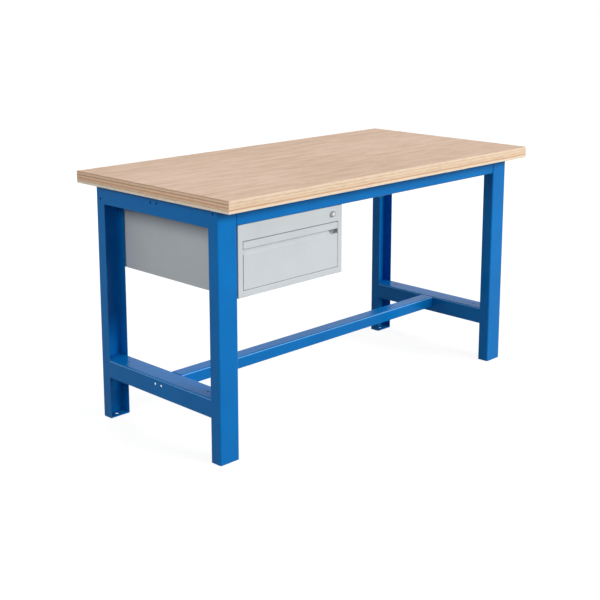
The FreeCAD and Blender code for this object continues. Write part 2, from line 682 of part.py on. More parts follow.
def make_cabinet_fasteners():
    """Bolts up through the top panel and the lower flanges of the long rails."""
    stack = d.sheet + d.steel_wall
    bolt = hex_bolt("cabinet_bolt", d.hanger_head, d.hanger_head_height, d.hanger_diameter,
                    stack + d.hanger_nut_height + d.bolt_end)
    nut = hex_nut("cabinet_nut", d.hanger_head, d.hanger_nut_height,
                  d.hanger_diameter + d.fit_clearance)
    spots = [(x, hanger_y * end) for x in hanger_x for _, end in ENDS]
    upward = (0, 0, 1)
    group("cabinet_bolts", bolt, [((x, y, cab_top - d.sheet), upward) for x, y in spots])
    group("cabinet_nuts", nut, [((x, y, cab_top + d.steel_wall), upward) for x, y in spots])


# Drawer and runner places: runner sections are drawn from the mounting face towards the drawer
front_width = (opening_half - d.reveal) * 2
front_height = opening_height - d.reveal * 2
front_bottom = cab_bottom + d.sill_height + d.reveal
tray_bottom = cab_bottom + d.sill_height + d.tray_lift
tray_height = opening_height - d.tray_lift - d.tray_head
tray_half = opening_half + d.runner_recess - d.runner_thickness
tray_front = d.front_depth + d.tray_sheet
tray_rear = cab_depth - d.sheet - d.tray_rear_gap
runner_z = tray_bottom + tray_height / 2
runner_front = cab_front + tray_front + d.runner_front_gap
runner_length = cab_depth - d.sheet - tray_front - d.runner_front_gap - d.runner_rear_gap
bracket_depth = d.post_width - d.sheet - d.runner_recess
outer_track = d.runner_height / 2 - d.runner_sheet
middle_half = outer_track - d.ball_diameter - d.ball_clearance * 2
inner_half = middle_half - d.runner_sheet - d.ball_diameter - d.ball_clearance * 2
outer_tip = d.runner_thickness - d.outer_tip_gap
middle_tip = d.runner_thickness - d.middle_tip_gap
inner_tip = d.middle_offset + d.runner_sheet + d.inner_tip_gap
screw_steps = [d.runner_screw_inset, runner_length / 2, runner_length - d.runner_screw_inset]
rivet_steps = [d.rivet_inset, runner_length / 2, runner_length - d.rivet_inset]


def mounting_x(side):
    """Place of a runner's mounting face."""
    return cab_mid + (opening_half + d.runner_recess) * side


def c_section(web_at, tip_at, half, wall):
    """Outline of a runner member: its web starts at web_at and its two flanges end at tip_at."""
    return [(web_at, -half), (tip_at, -half), (tip_at, wall - half), (web_at + wall, wall - half),
            (web_at + wall, half - wall), (tip_at, half - wall), (tip_at, half), (web_at, half)]


def make_bracket(side_name, side):
    """Channel welded to the cabinet side that brings the runner out to the drawer opening."""
    start = cab_front + d.return_lip + d.bracket_gap
    body = new_body(f"runner_bracket_{side_name}", mounting_x(side), start, runner_z)
    section = sketch_on(body, "XZ_Plane")
    half, wall = d.bracket_height / 2, d.sheet
    points = [(0, -half), (bracket_depth, -half), (bracket_depth, wall - half), (wall, wall - half),
              (wall, half - wall), (bracket_depth, half - wall), (bracket_depth, half), (0, half)]
    draw_outline(section, [(as_size(x) * side, z) for x, z in points])
    pad(body, section, cab_depth - d.return_lip - d.sheet - d.bracket_gap * 2, reverse=True)
    holes = sketch_on(body, "YZ_Plane")
    centres = [(runner_front - start + step, 0) for step in screw_steps]
    draw_circles(holes, centres, d.runner_screw + d.fit_clearance)
    pocket(body, holes, symmetric=True)


def make_member(member, side_name, side, points, hole_steps):
    """One member of a telescopic runner, with its fixing holes."""
    body = new_body(f"runner_{member}_{side_name}", mounting_x(side), runner_front, runner_z)
    section = sketch_on(body, "XZ_Plane")
    draw_outline(section, [(as_size(x) * -side, z) for x, z in points])
    pad(body, section, runner_length, reverse=True)
    if hole_steps:
        holes = sketch_on(body, "YZ_Plane")
        draw_circles(holes, [(step, 0) for step in hole_steps], d.runner_screw + d.fit_clearance)
        pocket(body, holes, symmetric=True)


def make_runner(side_name, side):
    """Outer, middle and inner members, nested with a ball track between each two."""
    wall = d.runner_sheet
    outer = c_section(as_size(0), outer_tip, d.runner_height / 2, wall)
    middle = c_section(d.middle_offset, middle_tip, middle_half, wall)
    inner = c_section(d.runner_thickness, inner_tip, inner_half, wall)
    back = d.runner_thickness - wall
    inner = [(back if index in (3, 4) else x, z) for index, (x, z) in enumerate(inner)]
    make_member("outer", side_name, side, outer, screw_steps)
    make_member("middle", side_name, side, middle, [])
    make_member("inner", side_name, side, inner, rivet_steps)


def make_cage_master():
    """Strip with a row of holes that keeps the balls apart."""
    body = doc.addObject("PartDesign::Body", "ball_cage")
    plan = sketch_on(body, "XY_Plane")
    reach = d.ball_pitch * (d.ball_count - 1) / 2
    half_x, half_y = d.cage_width / 2, reach + d.cage_margin
    draw_outline(plan, rectangle(-half_x, -half_y, half_x, half_y))
    draw_circles(plan, [(0, y) for y in ball_steps], d.ball_diameter + d.fit_clearance)
    pad(body, plan, d.cage_thickness, symmetric=True)
    return body


# Balls of one cage, by their places along it
ball_total = int(d.ball_count.value)
ball_steps = [d.ball_pitch * (number - (ball_total - 1) / 2) for number in range(ball_total)]


def make_ball_sets():
    """Ball cages and balls: the outer pair runs at the rear of a runner, the inner pair in front."""
    cage = make_cage_master()
    ball = doc.addObject("Part::Sphere", "runner_ball")
    bind(ball, "Radius", d.ball_diameter / 2)
    outer_x = (d.middle_offset + outer_tip) / 2
    inner_x_in = (inner_tip + middle_tip) / 2
    outer_z = (outer_track + middle_half) / 2
    inner_z = (middle_half - d.runner_sheet + inner_half) / 2
    rear_y = runner_front + runner_length - d.cage_inset
    front_y = runner_front + d.cage_inset
    upward = (0, 0, 1)
    for side_name, side in SIDES:
        spots = [(x, y, z * up) for x, y, z in ((outer_x, rear_y, outer_z), (inner_x_in, front_y, inner_z))
                 for up in (-1, 1)]
        centres = [(mounting_x(side) - x * side, y, runner_z + z) for x, y, z in spots]
        group(f"ball_cages_{side_name}", cage, [(centre, upward) for centre in centres])
        balls = [((x, y + step, z), upward) for x, y, z in centres for step in ball_steps]
        group(f"runner_balls_{side_name}", ball, balls)


def make_runner_fasteners():
    """Screws that fix the outer members and rivets that fix the inner members to the tray."""
    screw = round_screw("runner_screw", d.runner_screw_head, d.runner_screw_head_height,
                        d.runner_screw, d.runner_screw_length)
    grip = d.runner_sheet + d.tray_sheet
    head = cylinder("rivet_head", d.rivet_head, d.rivet_head_height, z=-d.rivet_head_height)
    shank = cylinder("rivet_shank", d.runner_screw, grip)
    tail = cylinder("rivet_tail", d.rivet_tail, d.rivet_tail_height, z=grip)
    rivet = fused("drawer_rivet", [head, shank, tail])
    screws = []
    rivets = []
    for _, side in SIDES:
        outward = (side, 0, 0)
        screw_x = mounting_x(side) - d.runner_sheet * side
        rivet_x = cab_mid + (tray_half - d.tray_sheet) * side
        screws += [((screw_x, runner_front + step, runner_z), outward) for step in screw_steps]
        rivets += [((rivet_x, runner_front + step, runner_z), outward) for step in rivet_steps]
    group("runner_screws", screw, screws)
    group("drawer_rivets", rivet, rivets)


def make_tray():
    """Folded steel tray: its floor and two side walls in one sheet, closed in front by the liner."""
    body = new_body("drawer_tray", cab_mid, cab_front, tray_bottom)
    section = sketch_on(body, "XZ_Plane", -tray_front)
    draw_outline(section, channel(tray_half * 2, tray_height, d.tray_sheet))
    pad(body, section, tray_rear - tray_front - d.tray_sheet, reverse=True)
    holes = sketch_on(body, "YZ_Plane")
    centres = [(runner_front - cab_front + step, tray_height / 2) for step in rivet_steps]
    draw_circles(holes, centres, d.runner_screw + d.fit_clearance)
    pocket(body, holes, symmetric=True)


def make_tray_back():
    """Rear wall of the tray, welded across its end."""
    body = new_body("drawer_back", cab_mid, cab_front, tray_bottom)
    face = sketch_on(body, "XZ_Plane", -tray_rear)
    draw_outline(face, rectangle(-tray_half, 0, tray_half, tray_height))
    pad(body, face, d.tray_sheet)


# Grip recess of the drawer front: a slope that runs back and up under the band
grip_foot = front_height - d.grip_band - d.grip_height
grip_top = grip_foot + d.grip_height
slope = root(d.grip_depth * d.grip_depth + d.grip_height * d.grip_height)
sheet_along = d.sheet * slope / d.grip_height
slope_run = d.grip_depth / d.grip_height
back_corner = (slope_run * (d.grip_height + d.sheet) + sheet_along, grip_top + d.sheet)
foot_corner = (d.sheet, grip_foot + d.sheet * (d.grip_height - slope) / d.grip_depth)
latch_right = front_width / 2 - d.latch_end_gap
latch_left = latch_right - d.latch_width
stem_x = (latch_left + latch_right) / 2
stem_z = grip_foot + d.stem_level
slider_y = slope_run * (d.stem_level + d.slider_height / 2) + sheet_along + d.slider_gap
lock_x = cab_right - d.post_width - d.lock_inset
lock_z = cab_top - d.lock_drop
cam_y = d.barrel_length + d.cam_gap


def make_drawer_front():
    """Folded front with a full-width grip recess, closed ends, a latch slot and a slot for the cam."""
    body = new_body("drawer_front", cab_mid, cab_front, front_bottom)
    deep, high, wall = d.front_depth, front_height, d.sheet
    inner_side = [(deep, high - wall), (wall, high - wall), (wall, grip_top + wall), back_corner,
                  foot_corner, (wall, wall), (deep, wall)]
    outer_side = [(deep, 0), (0, 0), (0, grip_foot), (d.grip_depth, grip_top), (0, grip_top),
                  (0, high), (deep, high)]
    section = sketch_on(body, "YZ_Plane")
    draw_outline(section, outer_side + inner_side)
    pad(body, section, front_width, symmetric=True)
    for way in (-1, 1):
        end_cap = sketch_on(body, "YZ_Plane", front_width / 2 * way)
        draw_outline(end_cap, inner_side)
        pad(body, end_cap, wall, reverse=way > 0)
    round_edges(body, X_AXIS, [(0, 0), (0, grip_top), (0, high)], d.sheet_bend - wall)
    slot = sketch_on(body, "XZ_Plane")
    half_z = d.stem_height / 2 + d.stem_clearance
    left = stem_x - d.stem_width / 2 - d.latch_travel - d.stem_clearance
    right = stem_x + d.stem_width / 2 + d.stem_clearance
    draw_outline(slot, rectangle(left, stem_z - half_z, right, stem_z + half_z))
    pocket(body, slot, depth=d.grip_depth + wall)
    cam_slot = sketch_on(body, "XY_Plane", high)
    drop = lock_z - front_bottom - high
    half = d.cam_width / 2
    sweep = root(d.cam_reach * d.cam_reach + half * half - drop * drop)
    axis_x = lock_x - cab_mid
    draw_outline(cam_slot, rectangle(axis_x - sweep - d.cam_slot_gap, cam_y - d.cam_slot_gap,
                                     axis_x + half + d.cam_slot_gap,
                                     cam_y + d.cam_thickness + d.cam_slot_gap))
    pocket(body, cam_slot, depth=wall)


def make_drawer_liner():
    """Inner panel that closes the back of the drawer front, with the stop for the latch spring."""
    body = new_body("drawer_liner", cab_mid, cab_front, front_bottom)
    half = front_width / 2 - d.liner_inset
    face = sketch_on(body, "XZ_Plane", -d.front_depth)
    draw_outline(face, rectangle(-half, d.liner_inset, half, front_height - d.liner_inset))
    pad(body, face, d.tray_sheet, reverse=True)
    stop = sketch_on(body, "XY_Plane", stem_z - d.slider_height / 2)
    near = spring_left - d.spring_seat
    draw_outline(stop, rectangle(near - d.stop_thickness, spring_y - d.spring_radius, near, d.front_depth))
    pad(body, stop, d.slider_height)


def make_latch():
    """Latch button in the grip recess, with a stem through the recess sheet."""
    body = new_body("drawer_latch", cab_mid, cab_front, front_bottom)
    section = sketch_on(body, "YZ_Plane", latch_left)
    gap, face = d.latch_clearance, d.latch_inset
    gap_along = gap * slope / d.grip_height
    ceiling = grip_top - gap
    foot_z = grip_foot + (face + gap_along) / slope_run
    deep_y = slope_run * (d.grip_height - gap) - gap_along
    draw_outline(section, [(face, foot_z), (deep_y, ceiling), (face, ceiling)])
    pad(body, section, d.latch_width)
    hollow = sketch_on(body, "XZ_Plane")
    draw_outline(hollow, rectangle(latch_left + d.latch_rim, grip_foot + d.latch_sill,
                                   latch_right - d.latch_lip, grip_top))
    pocket(body, hollow, depth=d.latch_hollow)
    stem = sketch_on(body, "XZ_Plane", -slider_y)
    half_x, half_z = d.stem_width / 2, d.stem_height / 2
    draw_outline(stem, rectangle(stem_x - half_x, stem_z - half_z, stem_x + half_x, stem_z + half_z))
    pad(body, stem, slider_y - slope_run * (d.stem_level - half_z) + gap_along)
    hole = sketch_on(body, "XZ_Plane", -slider_y)
    draw_circles(hole, [(stem_x, stem_z)], d.latch_screw + d.fit_clearance)
    pocket(body, hole, depth=d.latch_screw_depth + d.fit_clearance, reverse=True)


def make_latch_slider():
    """Plate behind the recess sheet that keeps the latch button in its slot."""
    body = new_body("latch_slider", cab_mid, cab_front, front_bottom)
    plate = sketch_on(body, "XZ_Plane", -slider_y)
    half_x, half_z = d.slider_width / 2, d.slider_height / 2
    draw_outline(plate, rectangle(slider_right - d.slider_width, stem_z - half_z,
                                  slider_right, stem_z + half_z))
    draw_circles(plate, [(stem_x, stem_z)], d.latch_screw + d.fit_clearance)
    pad(body, plate, d.slider_thickness, reverse=True)
    tab = sketch_on(body, "XY_Plane", stem_z - half_z)
    left = slider_right - d.slider_width
    draw_outline(tab, rectangle(left, slider_y, left + d.slider_thickness, spring_y + d.spring_radius))
    pad(body, tab, d.slider_height)


# Latch spring between the slider's tab and the liner's stop
slider_right = latch_right - d.sheet - d.latch_end_gap
spring_y = slider_y + d.slider_thickness + d.spring_radius
spring_right = slider_right - d.slider_width - d.spring_seat
spring_left = spring_right - d.spring_length


def make_latch_spring():
    """Coil spring that pushes the latch back to the right."""
    radius, wire = d.spring_radius, d.spring_wire
    helix = doc.addObject("Part::Helix", "spring_line")
    length = d.spring_length - wire
    bind(helix, "Radius", radius)
    bind(helix, "Height", length)
    bind(helix, "Pitch", length / d.spring_turns)
    ring = doc.addObject("Part::Circle", "spring_section")
    bind(ring, "Radius", wire / 2)
    place(ring, x=radius, rotation=Rotation(Vector(1, 0, 0), 90))
    spring = doc.addObject("Part::Sweep", "latch_spring")
    spring.Label = "latch_spring"
    spring.Sections = [ring]
    spring.Spine = (helix, ["Edge1"])
    spring.Solid = True
    spring.Frenet = True
    place(spring, cab_mid + spring_left + wire / 2, cab_front + spring_y, front_bottom + stem_z,
          Rotation(Vector(0, 0, 1), Vector(1, 0, 0)))
    nodes.append(spring)


def make_latch_screw():
    """Screw that holds the slider to the latch stem."""
    screw = round_screw("latch_screw_master", d.latch_screw_head, d.latch_screw_head_height,
                        d.latch_screw, d.slider_thickness + d.latch_screw_depth)
    point = (cab_mid + stem_x, cab_front + slider_y + d.slider_thickness, front_bottom + stem_z)
    group("latch_screw", screw, [(point, (0, -1, 0))])


def make_lock_barrel():
    """Lock housing: a round bezel in front of the bar and a barrel behind it."""
    body = new_body("lock_barrel", lock_x, cab_front, lock_z)
    bezel = sketch_on(body, "XZ_Plane")
    draw_circles(bezel, [(0, 0)], d.bezel_diameter)
    pad(body, bezel, d.bezel_height)
    rim = [f"Edge{number}" for number, edge in enumerate(body.Tip.Shape.Edges, start=1)
           if len(edge.Vertexes) == 1 and edge.Vertexes[0].Y < NEAR - d.bezel_height.value]
    round_named(body, rim, d.bezel_round)
    barrel = sketch_on(body, "XZ_Plane")
    draw_circles(barrel, [(0, 0)], d.barrel_diameter)
    pad(body, barrel, d.barrel_length, reverse=True)
    bore = sketch_on(body, "XZ_Plane")
    draw_circles(bore, [(0, 0)], d.plug_diameter + d.plug_clearance)
    pocket(body, bore, symmetric=True)


def make_lock_nut():
    """Nut on the barrel behind the bar."""
    body = new_body("lock_nut", lock_x, cab_front, lock_z)
    plan = sketch_on(body, "XZ_Plane", -d.sheet)
    draw_outline(plan, hexagon(d.lock_nut_flats))
    draw_circles(plan, [(0, 0)], d.barrel_diameter + d.fit_clearance)
    pad(body, plan, d.lock_nut_height, reverse=True)


def make_lock_plug():
    """Turning plug with a keyway in front and a square tail for the cam."""
    body = new_body("lock_plug", lock_x, cab_front, lock_z)
    face = d.bezel_height + d.plug_proud
    core = sketch_on(body, "XZ_Plane", face)
    draw_circles(core, [(0, 0)], d.plug_diameter)
    pad(body, core, face + cam_y - d.cam_gap / 2, reverse=True)
    keyway = sketch_on(body, "XZ_Plane", face)
    half_x, half_z = d.keyway_width / 2, d.keyway_height / 2
    draw_outline(keyway, rectangle(-half_x, -half_z, half_x, half_z))
    pocket(body, keyway, depth=d.keyway_depth)
    tail = sketch_on(body, "XZ_Plane", d.cam_gap / 2 - cam_y)
    half = d.plug_square / 2
    draw_outline(tail, rectangle(-half, -half, half, half))
    pad(body, tail, d.cam_gap / 2 + d.cam_thickness, reverse=True)
    hole = sketch_on(body, "XZ_Plane", -cam_y - d.cam_thickness)
    draw_circles(hole, [(0, 0)], d.cam_screw + d.fit_clearance)
    pocket(body, hole, depth=d.cam_screw_depth + d.fit_clearance, reverse=True)


def make_lock_cam():
    """Cam that swings down through the drawer front's slot when the lock is turned."""
    body = new_body("lock_cam", lock_x, cab_front, lock_z)
    plan = sketch_on(body, "XZ_Plane", -cam_y)
    half = d.cam_width / 2
    hole = (d.plug_square + d.fit_clearance) / 2
    draw_outline(plan, rectangle(-d.cam_reach, -half, half, half))
    draw_outline(plan, rectangle(-hole, -hole, hole, hole))
    pad(body, plan, d.cam_thickness, reverse=True)
    corners = [(x, half * way) for x in (-d.cam_reach, half) for way in (-1, 1)]
    round_edges(body, Y_AXIS, corners, d.cam_round)


def make_cam_screw():
    """Screw that holds the cam on the plug."""
    screw = round_screw("cam_screw_master", d.cam_screw_head, d.cam_screw_head_height,
                        d.cam_screw, d.cam_screw_depth)
    point = (lock_x, cab_front + cam_y + d.cam_thickness, lock_z)
    group("cam_screw", screw, [(point, (0, -1, 0))])


make_worktop()
for end_name, end in ENDS:
    for side_name, side in SIDES:
        make_leg(end_name, end, side_name, side)
        make_foot_plate(end_name, end, side_name, side)
        make_rail_plate(end_name, end, side_name, side)
    make_long_rail(end_name, end)
for side_name, side in SIDES:
    make_end_rail("lower", d.lower_rail_top, side_name, side, d.shelf_hole_pitch, d.shelf_hole)
    make_end_rail("upper", d.leg_height, side_name, side, d.end_screw_pitch,
                  d.screw_diameter + d.bolt_clearance)
    make_stretcher_plate(side_name, side)
    make_cabinet_side(side_name, side)
    make_bracket(side_name, side)
    make_runner(side_name, side)
make_stretcher()
make_frame_fasteners()
make_cabinet_fascia()
make_cabinet_bottom()
make_cabinet_top()
make_cabinet_back()
make_cabinet_fasteners()
make_ball_sets()
make_runner_fasteners()
make_tray()
make_tray_back()
make_drawer_front()
make_drawer_liner()
make_latch()
make_latch_slider()
make_latch_spring()
make_latch_screw()
make_lock_barrel()
make_lock_nut()
make_lock_plug()
make_lock_cam()
make_cam_screw()
doc.recompute()

for thing in doc.Objects:
    if {"Invalid", "Error"} & set(thing.State):
        raise ValueError(f"{thing.Label} failed: {thing.State}")
for node in nodes:
    if node.Shape.isNull() or not node.Shape.isValid() or not node.Shape.Solids:
        raise ValueError(f"{node.Label} has no sound shape")

os.makedirs("parts", exist_ok=True)
for node in nodes:
    node.Shape.exportStep(f"parts/{node.Label}.step")
print(f"{len(nodes)} nodes written")
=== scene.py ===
# %% [markdown]
# # A steel workbench with a drawer, dressed for its picture
# The bench is already built as solids: a plywood top, a frame of folded steel channels and a small
# cabinet with a drawer. This lesson gives every piece its finish, remakes the few pieces whose form needs
# a smooth surface, and sets up a plain white studio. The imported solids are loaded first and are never
# moved, so all later pieces share their frame: metres, X to the right, Y to the rear, Z up.

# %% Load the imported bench
import json
import math

import bmesh
import bpy
import numpy as np
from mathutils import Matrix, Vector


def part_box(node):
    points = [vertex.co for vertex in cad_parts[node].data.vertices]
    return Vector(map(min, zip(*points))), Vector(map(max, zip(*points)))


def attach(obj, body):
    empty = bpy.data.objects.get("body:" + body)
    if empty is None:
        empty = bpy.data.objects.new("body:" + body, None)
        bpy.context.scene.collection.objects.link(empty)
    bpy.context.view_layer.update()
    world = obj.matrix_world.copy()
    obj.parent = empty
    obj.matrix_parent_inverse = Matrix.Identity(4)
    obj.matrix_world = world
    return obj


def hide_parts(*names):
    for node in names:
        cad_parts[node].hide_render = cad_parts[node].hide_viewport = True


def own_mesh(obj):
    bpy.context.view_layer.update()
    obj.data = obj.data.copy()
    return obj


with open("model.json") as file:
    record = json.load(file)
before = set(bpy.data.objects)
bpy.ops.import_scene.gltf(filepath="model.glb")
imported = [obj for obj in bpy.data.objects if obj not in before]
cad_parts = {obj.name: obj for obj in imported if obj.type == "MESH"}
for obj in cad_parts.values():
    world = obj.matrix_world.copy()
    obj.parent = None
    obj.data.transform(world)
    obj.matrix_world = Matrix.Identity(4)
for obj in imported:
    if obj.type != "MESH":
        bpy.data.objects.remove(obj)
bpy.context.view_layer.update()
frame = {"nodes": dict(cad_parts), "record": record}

# %% [markdown]
# ## Colours and nodes
# A paint's colour is quoted in sRGB, the code that a screen shows, but light adds up in linear values.
# One function turns a hex code into linear numbers, so that every colour below can be read as it looks.
# Materials are built from nodes, and one small function adds a node with its settings, its numbers and
# its links, which keeps each recipe short enough to read as a list.

# %% A hex colour in linear light, and one node
MM = 0.001
# A colour Mix has several sockets of the same name, so these are taken by number: share, A, B and result.
SHARE, FIRST, SECOND, MIXED = 0, 6, 7, 2


def linear(code):
    """Linear RGBA of an sRGB hex code: c / 12.92 for dark values, else ((c + 0.055) / 1.055) ^ 2.4."""
    srgb = np.array([int(code[i:i + 2], 16) for i in (1, 3, 5)]) / 255
    light = np.where(srgb <= 0.04045, srgb / 12.92, ((srgb + 0.055) / 1.055) ** 2.4)
    return (*light.tolist(), 1.0)


def add(tree, kind, inputs=None, stops=(), **settings):
    """Add a node (or take one that exists), set its properties, then fill or link its sockets."""
    node = tree.nodes.new("ShaderNode" + kind) if isinstance(kind, str) else kind
    for name, value in settings.items():
        setattr(node, name, value)
    for number, (at, code) in enumerate(stops):
        ramp = node.color_ramp.elements
        stop = ramp[number] if number < 2 else ramp.new(at)
        stop.position, stop.color = at, linear(code)
    for name, value in (inputs or {}).items():
        if isinstance(value, bpy.types.NodeSocket):
            tree.links.new(value, node.inputs[name])
        else:
            node.inputs[name].default_value = value
    return node


def new_finish(name, **sockets):
    """A material with one Principled shader; numbers that are the same all over are set on its sockets."""
    material = bpy.data.materials.new(name)
    material.use_nodes = True
    shader = material.node_tree.nodes["Principled BSDF"]
    for socket, value in sockets.items():
        shader.inputs[socket.replace("_", " ")].default_value = value
    return material, material.node_tree, shader


print("mid grey in linear light:", round(linear("#808080")[0], 3))

# %% [markdown]
# ## Blue powder coat on the frame
# Legs, rails and stretcher are folded from sheet and sprayed with a polyester powder that melts into a
# skin about 80 micrometres thick. The skin is smooth but not flat: it keeps a faint orange peel, so the
# reflections have soft edges. A smooth noise gives the peel as a bump. The real cells are about 2 mm
# wide, and they are drawn 4 mm wide so that they still show in the picture. A thin pale line along the
# upper folds of the rails and the stretcher is a painted highlight, where light from above catches the folds.

# %% Blue powder coat
blue, tree, shader = new_finish("blue_polyester_powder", Roughness=0.24, IOR=1.5, Specular_IOR_Level=0.085)
where = add(tree, "TexCoord").outputs["Object"]
# Thickness of the skin varies slowly over a hand's width, which shifts its depth of colour a little.
cloud = add(tree, "TexNoise", {"Vector": where, "Scale": 1 / (130 * MM), "Detail": 2.0})
tone = add(tree, "ValToRGB", {"Fac": cloud.outputs[0]}, stops=[(0.3, "#0571BC"), (0.7, "#0777C4")])
# Flat faces look straight up, down or sideways; an upper fold is where the normal's Z lies between 0 and 1.
# The painted highlight comes in as Z rises from 0.05 to 0.3 and goes out again from 0.5 to 0.72.
facing = add(tree, "SeparateXYZ", {"Vector": add(tree, "NewGeometry").outputs["Normal"]})
rise = add(tree, "MapRange", {"Value": facing.outputs["Z"], "From Min": 0.05, "From Max": 0.3})
fall = add(tree, "MapRange", {"Value": facing.outputs["Z"], "From Min": 0.5, "From Max": 0.72,
                              "To Min": 1.0, "To Max": 0.0})
painted_fold_highlight = add(tree, "Math", {0: rise.outputs[0], 1: fall.outputs[0]}, operation="MULTIPLY")
# The pale blue on the upper folds is a painted highlight.
tone = add(tree, "Mix", {SHARE: painted_fold_highlight.outputs[0], FIRST: tone.outputs[0], SECOND: linear("#74BAF6")},
           data_type="RGBA")
peel = add(tree, "TexNoise", {"Vector": where, "Scale": 1 / (4 * MM), "Detail": 1.0})
bump = add(tree, "Bump", {"Height": peel.outputs[0], "Strength": 0.05, "Distance": 0.25 * MM})
gloss = add(tree, "MapRange", {"Value": cloud.outputs[0], "To Min": 0.21, "To Max": 0.27})
add(tree, shader, {"Base Color": tone.outputs[MIXED], "Roughness": gloss.outputs[0], "Normal": bump.outputs[0]})
print("made", blue.name)

# %% [markdown]
# ## Grey powder coat on the cabinet and drawer
# The cabinet has the same kind of coat in a light grey, with a finer, drier texture. The same two noises
# serve, at other sizes: 3 mm cells for a texture that is really about 1 mm, and a duller gloss.

# %% Grey powder coat
grey, tree, shader = new_finish("light_grey_powder", Roughness=0.45, IOR=1.5, Specular_IOR_Level=0.16)
where = add(tree, "TexCoord").outputs["Object"]
cloud = add(tree, "TexNoise", {"Vector": where, "Scale": 1 / (110 * MM), "Detail": 2.0})
tone = add(tree, "ValToRGB", {"Fac": cloud.outputs[0]}, stops=[(0.3, "#CBD1D4"), (0.7, "#D0D6D9")])
grain = add(tree, "TexNoise", {"Vector": where, "Scale": 1 / (3 * MM), "Detail": 2.0})
bump = add(tree, "Bump", {"Height": grain.outputs[0], "Strength": 0.06, "Distance": 0.2 * MM})
add(tree, shader, {"Base Color": tone.outputs[0], "Normal": bump.outputs[0]})
print("made", grey.name)

# %% [markdown]
# ## Face of the plywood
# The board is glued from rotary-cut beech veneers and has a dull varnish. Its top shows a calm lengthwise
# grain, pale streaks and short brown flecks, and the leaves of the face veneer differ a little in tone.
# Grain, streaks and flecks are noises stretched along the board, each at its own length and width.

# %% Face of the board
plywood, tree, shader = new_finish("varnished_beech_plywood", Roughness=0.7, IOR=1.5, Specular_IOR_Level=0.12)
where = add(tree, "TexCoord").outputs["Object"]
# Patches of the figure are about 170 mm long and 30 mm wide, and lie on broad clouds 600 mm wide. Fibres
# are hair-thin and drawn 3.5 mm wide; flecks are 2 mm long, drawn 28 mm long to show.
PATCH, FIBRE, FLECK = np.array([(170, 30, 30), (90, 3.5, 3.5), (28, 5, 5)]) * MM
CLOUD, LEAF = 600 * MM, 185 * MM
along = add(tree, "Mapping", {"Vector": where, "Scale": tuple(1 / PATCH)})
patch = add(tree, "TexNoise", {"Vector": along.outputs[0], "Scale": 1.0, "Detail": 4.0, "Distortion": 0.1})
broad = add(tree, "TexNoise", {"Vector": where, "Scale": 1 / CLOUD, "Detail": 1.0})
fine = add(tree, "Mapping", {"Vector": where, "Scale": tuple(1 / FIBRE)})
fibre = add(tree, "TexNoise", {"Vector": fine.outputs[0], "Scale": 1.0, "Detail": 3.0})
ticks = add(tree, "Mapping", {"Vector": where, "Scale": tuple(1 / FLECK)})
fleck = add(tree, "TexNoise", {"Vector": ticks.outputs[0], "Scale": 1.0, "Detail": 1.0})
# Each leaf of the face veneer, about 185 mm wide, has one random tone.
part = add(tree, "SeparateXYZ", {"Vector": where})
leaf = add(tree, "Math", {0: part.outputs["Y"], 1: LEAF}, operation="DIVIDE")
leaf = add(tree, "Math", {0: leaf.outputs[0]}, operation="FLOOR")
leaf = add(tree, "TexWhiteNoise", {"W": leaf.outputs[0]}, noise_dimensions="1D")
# The tone is the patches, plus 0.3 of the fibre, 0.4 of the clouds and 0.16 of the leaf, about one half.
shade = add(tree, "Math", {0: fibre.outputs[0], 1: 0.3, 2: patch.outputs[0]}, operation="MULTIPLY_ADD")
shade = add(tree, "Math", {0: broad.outputs[0], 1: 0.4, 2: shade.outputs[0]}, operation="MULTIPLY_ADD")
shade = add(tree, "Math", {0: leaf.outputs[0], 1: 0.16, 2: shade.outputs[0]}, operation="MULTIPLY_ADD")
shade = add(tree, "Math", {0: shade.outputs[0], 1: 0.43}, operation="SUBTRACT")
face = add(tree, "ValToRGB", {"Fac": shade.outputs[0]},
           stops=[(0.2, "#CEB19A"), (0.85, "#E6CEBC"), (0.5, "#DCC1AC")])
# Flecks gather in the darker patches.
gather = add(tree, "MapRange", {"Value": patch.outputs[0], "From Min": 0.35, "From Max": 0.62,
                                "To Min": 0.44, "To Max": 0.16})
spot = add(tree, "MapRange", {"Value": fleck.outputs[0], "From Min": 0.54, "From Max": 0.70,
                              "To Min": 0.0, "To Max": gather.outputs[0]})
face = add(tree, "Mix", {SHARE: spot.outputs[0], FIRST: face.outputs[0], SECOND: linear("#BD9676")},
           data_type="RGBA")

# %% [markdown]
# ## Edges of the plywood
# The edges show the plies: on a long edge the plies that run along it are pale and the cross plies, cut
# across their fibres, are brown; on a short edge the lines are stronger. The same material holds them,
# because the surface's own direction says whether a point is on the face or on an edge, and its height
# says which ply it belongs to. About seven plies are drawn, as they read from a few metres; the real
# board has more, and thinner ones would blur into one tone at this distance.

# %% Edges of the board
board_low, board_high = (corner.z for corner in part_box("worktop"))
# Height in the board, from 0 at its underside to 1 at its top; the plies wander by 0.8 mm up and down.
wavy = add(tree, "TexNoise", {"Vector": where, "Scale": 1 / (150 * MM), "Detail": 2.0})
lift = add(tree, "Math", {0: wavy.outputs[0], 1: 1.6 * MM, 2: -0.8 * MM - board_low}, operation="MULTIPLY_ADD")
level = add(tree, "Math", {0: part.outputs["Z"], 1: lift.outputs[0]}, operation="ADD")
level = add(tree, "Math", {0: level.outputs[0], 1: board_high - board_low}, operation="DIVIDE")
long_edge = add(tree, "ValToRGB", {"Fac": level.outputs[0]}, stops=[
    (0.0, "#EFDFC7"), (1.0, "#E0C4A7"),
    (0.20, "#ECD9C0"), (0.25, "#D8AC8A"), (0.31, "#D4A884"), (0.36, "#E5CAAC"),
    (0.47, "#E7CFB3"), (0.50, "#DFC1A1"), (0.55, "#E0C3A3"), (0.60, "#E9D3B8"),
    (0.71, "#E8D1B6"), (0.75, "#DFC0A0"), (0.79, "#E0C2A2"), (0.84, "#ECD7BE"), (0.96, "#EAD3BA")])
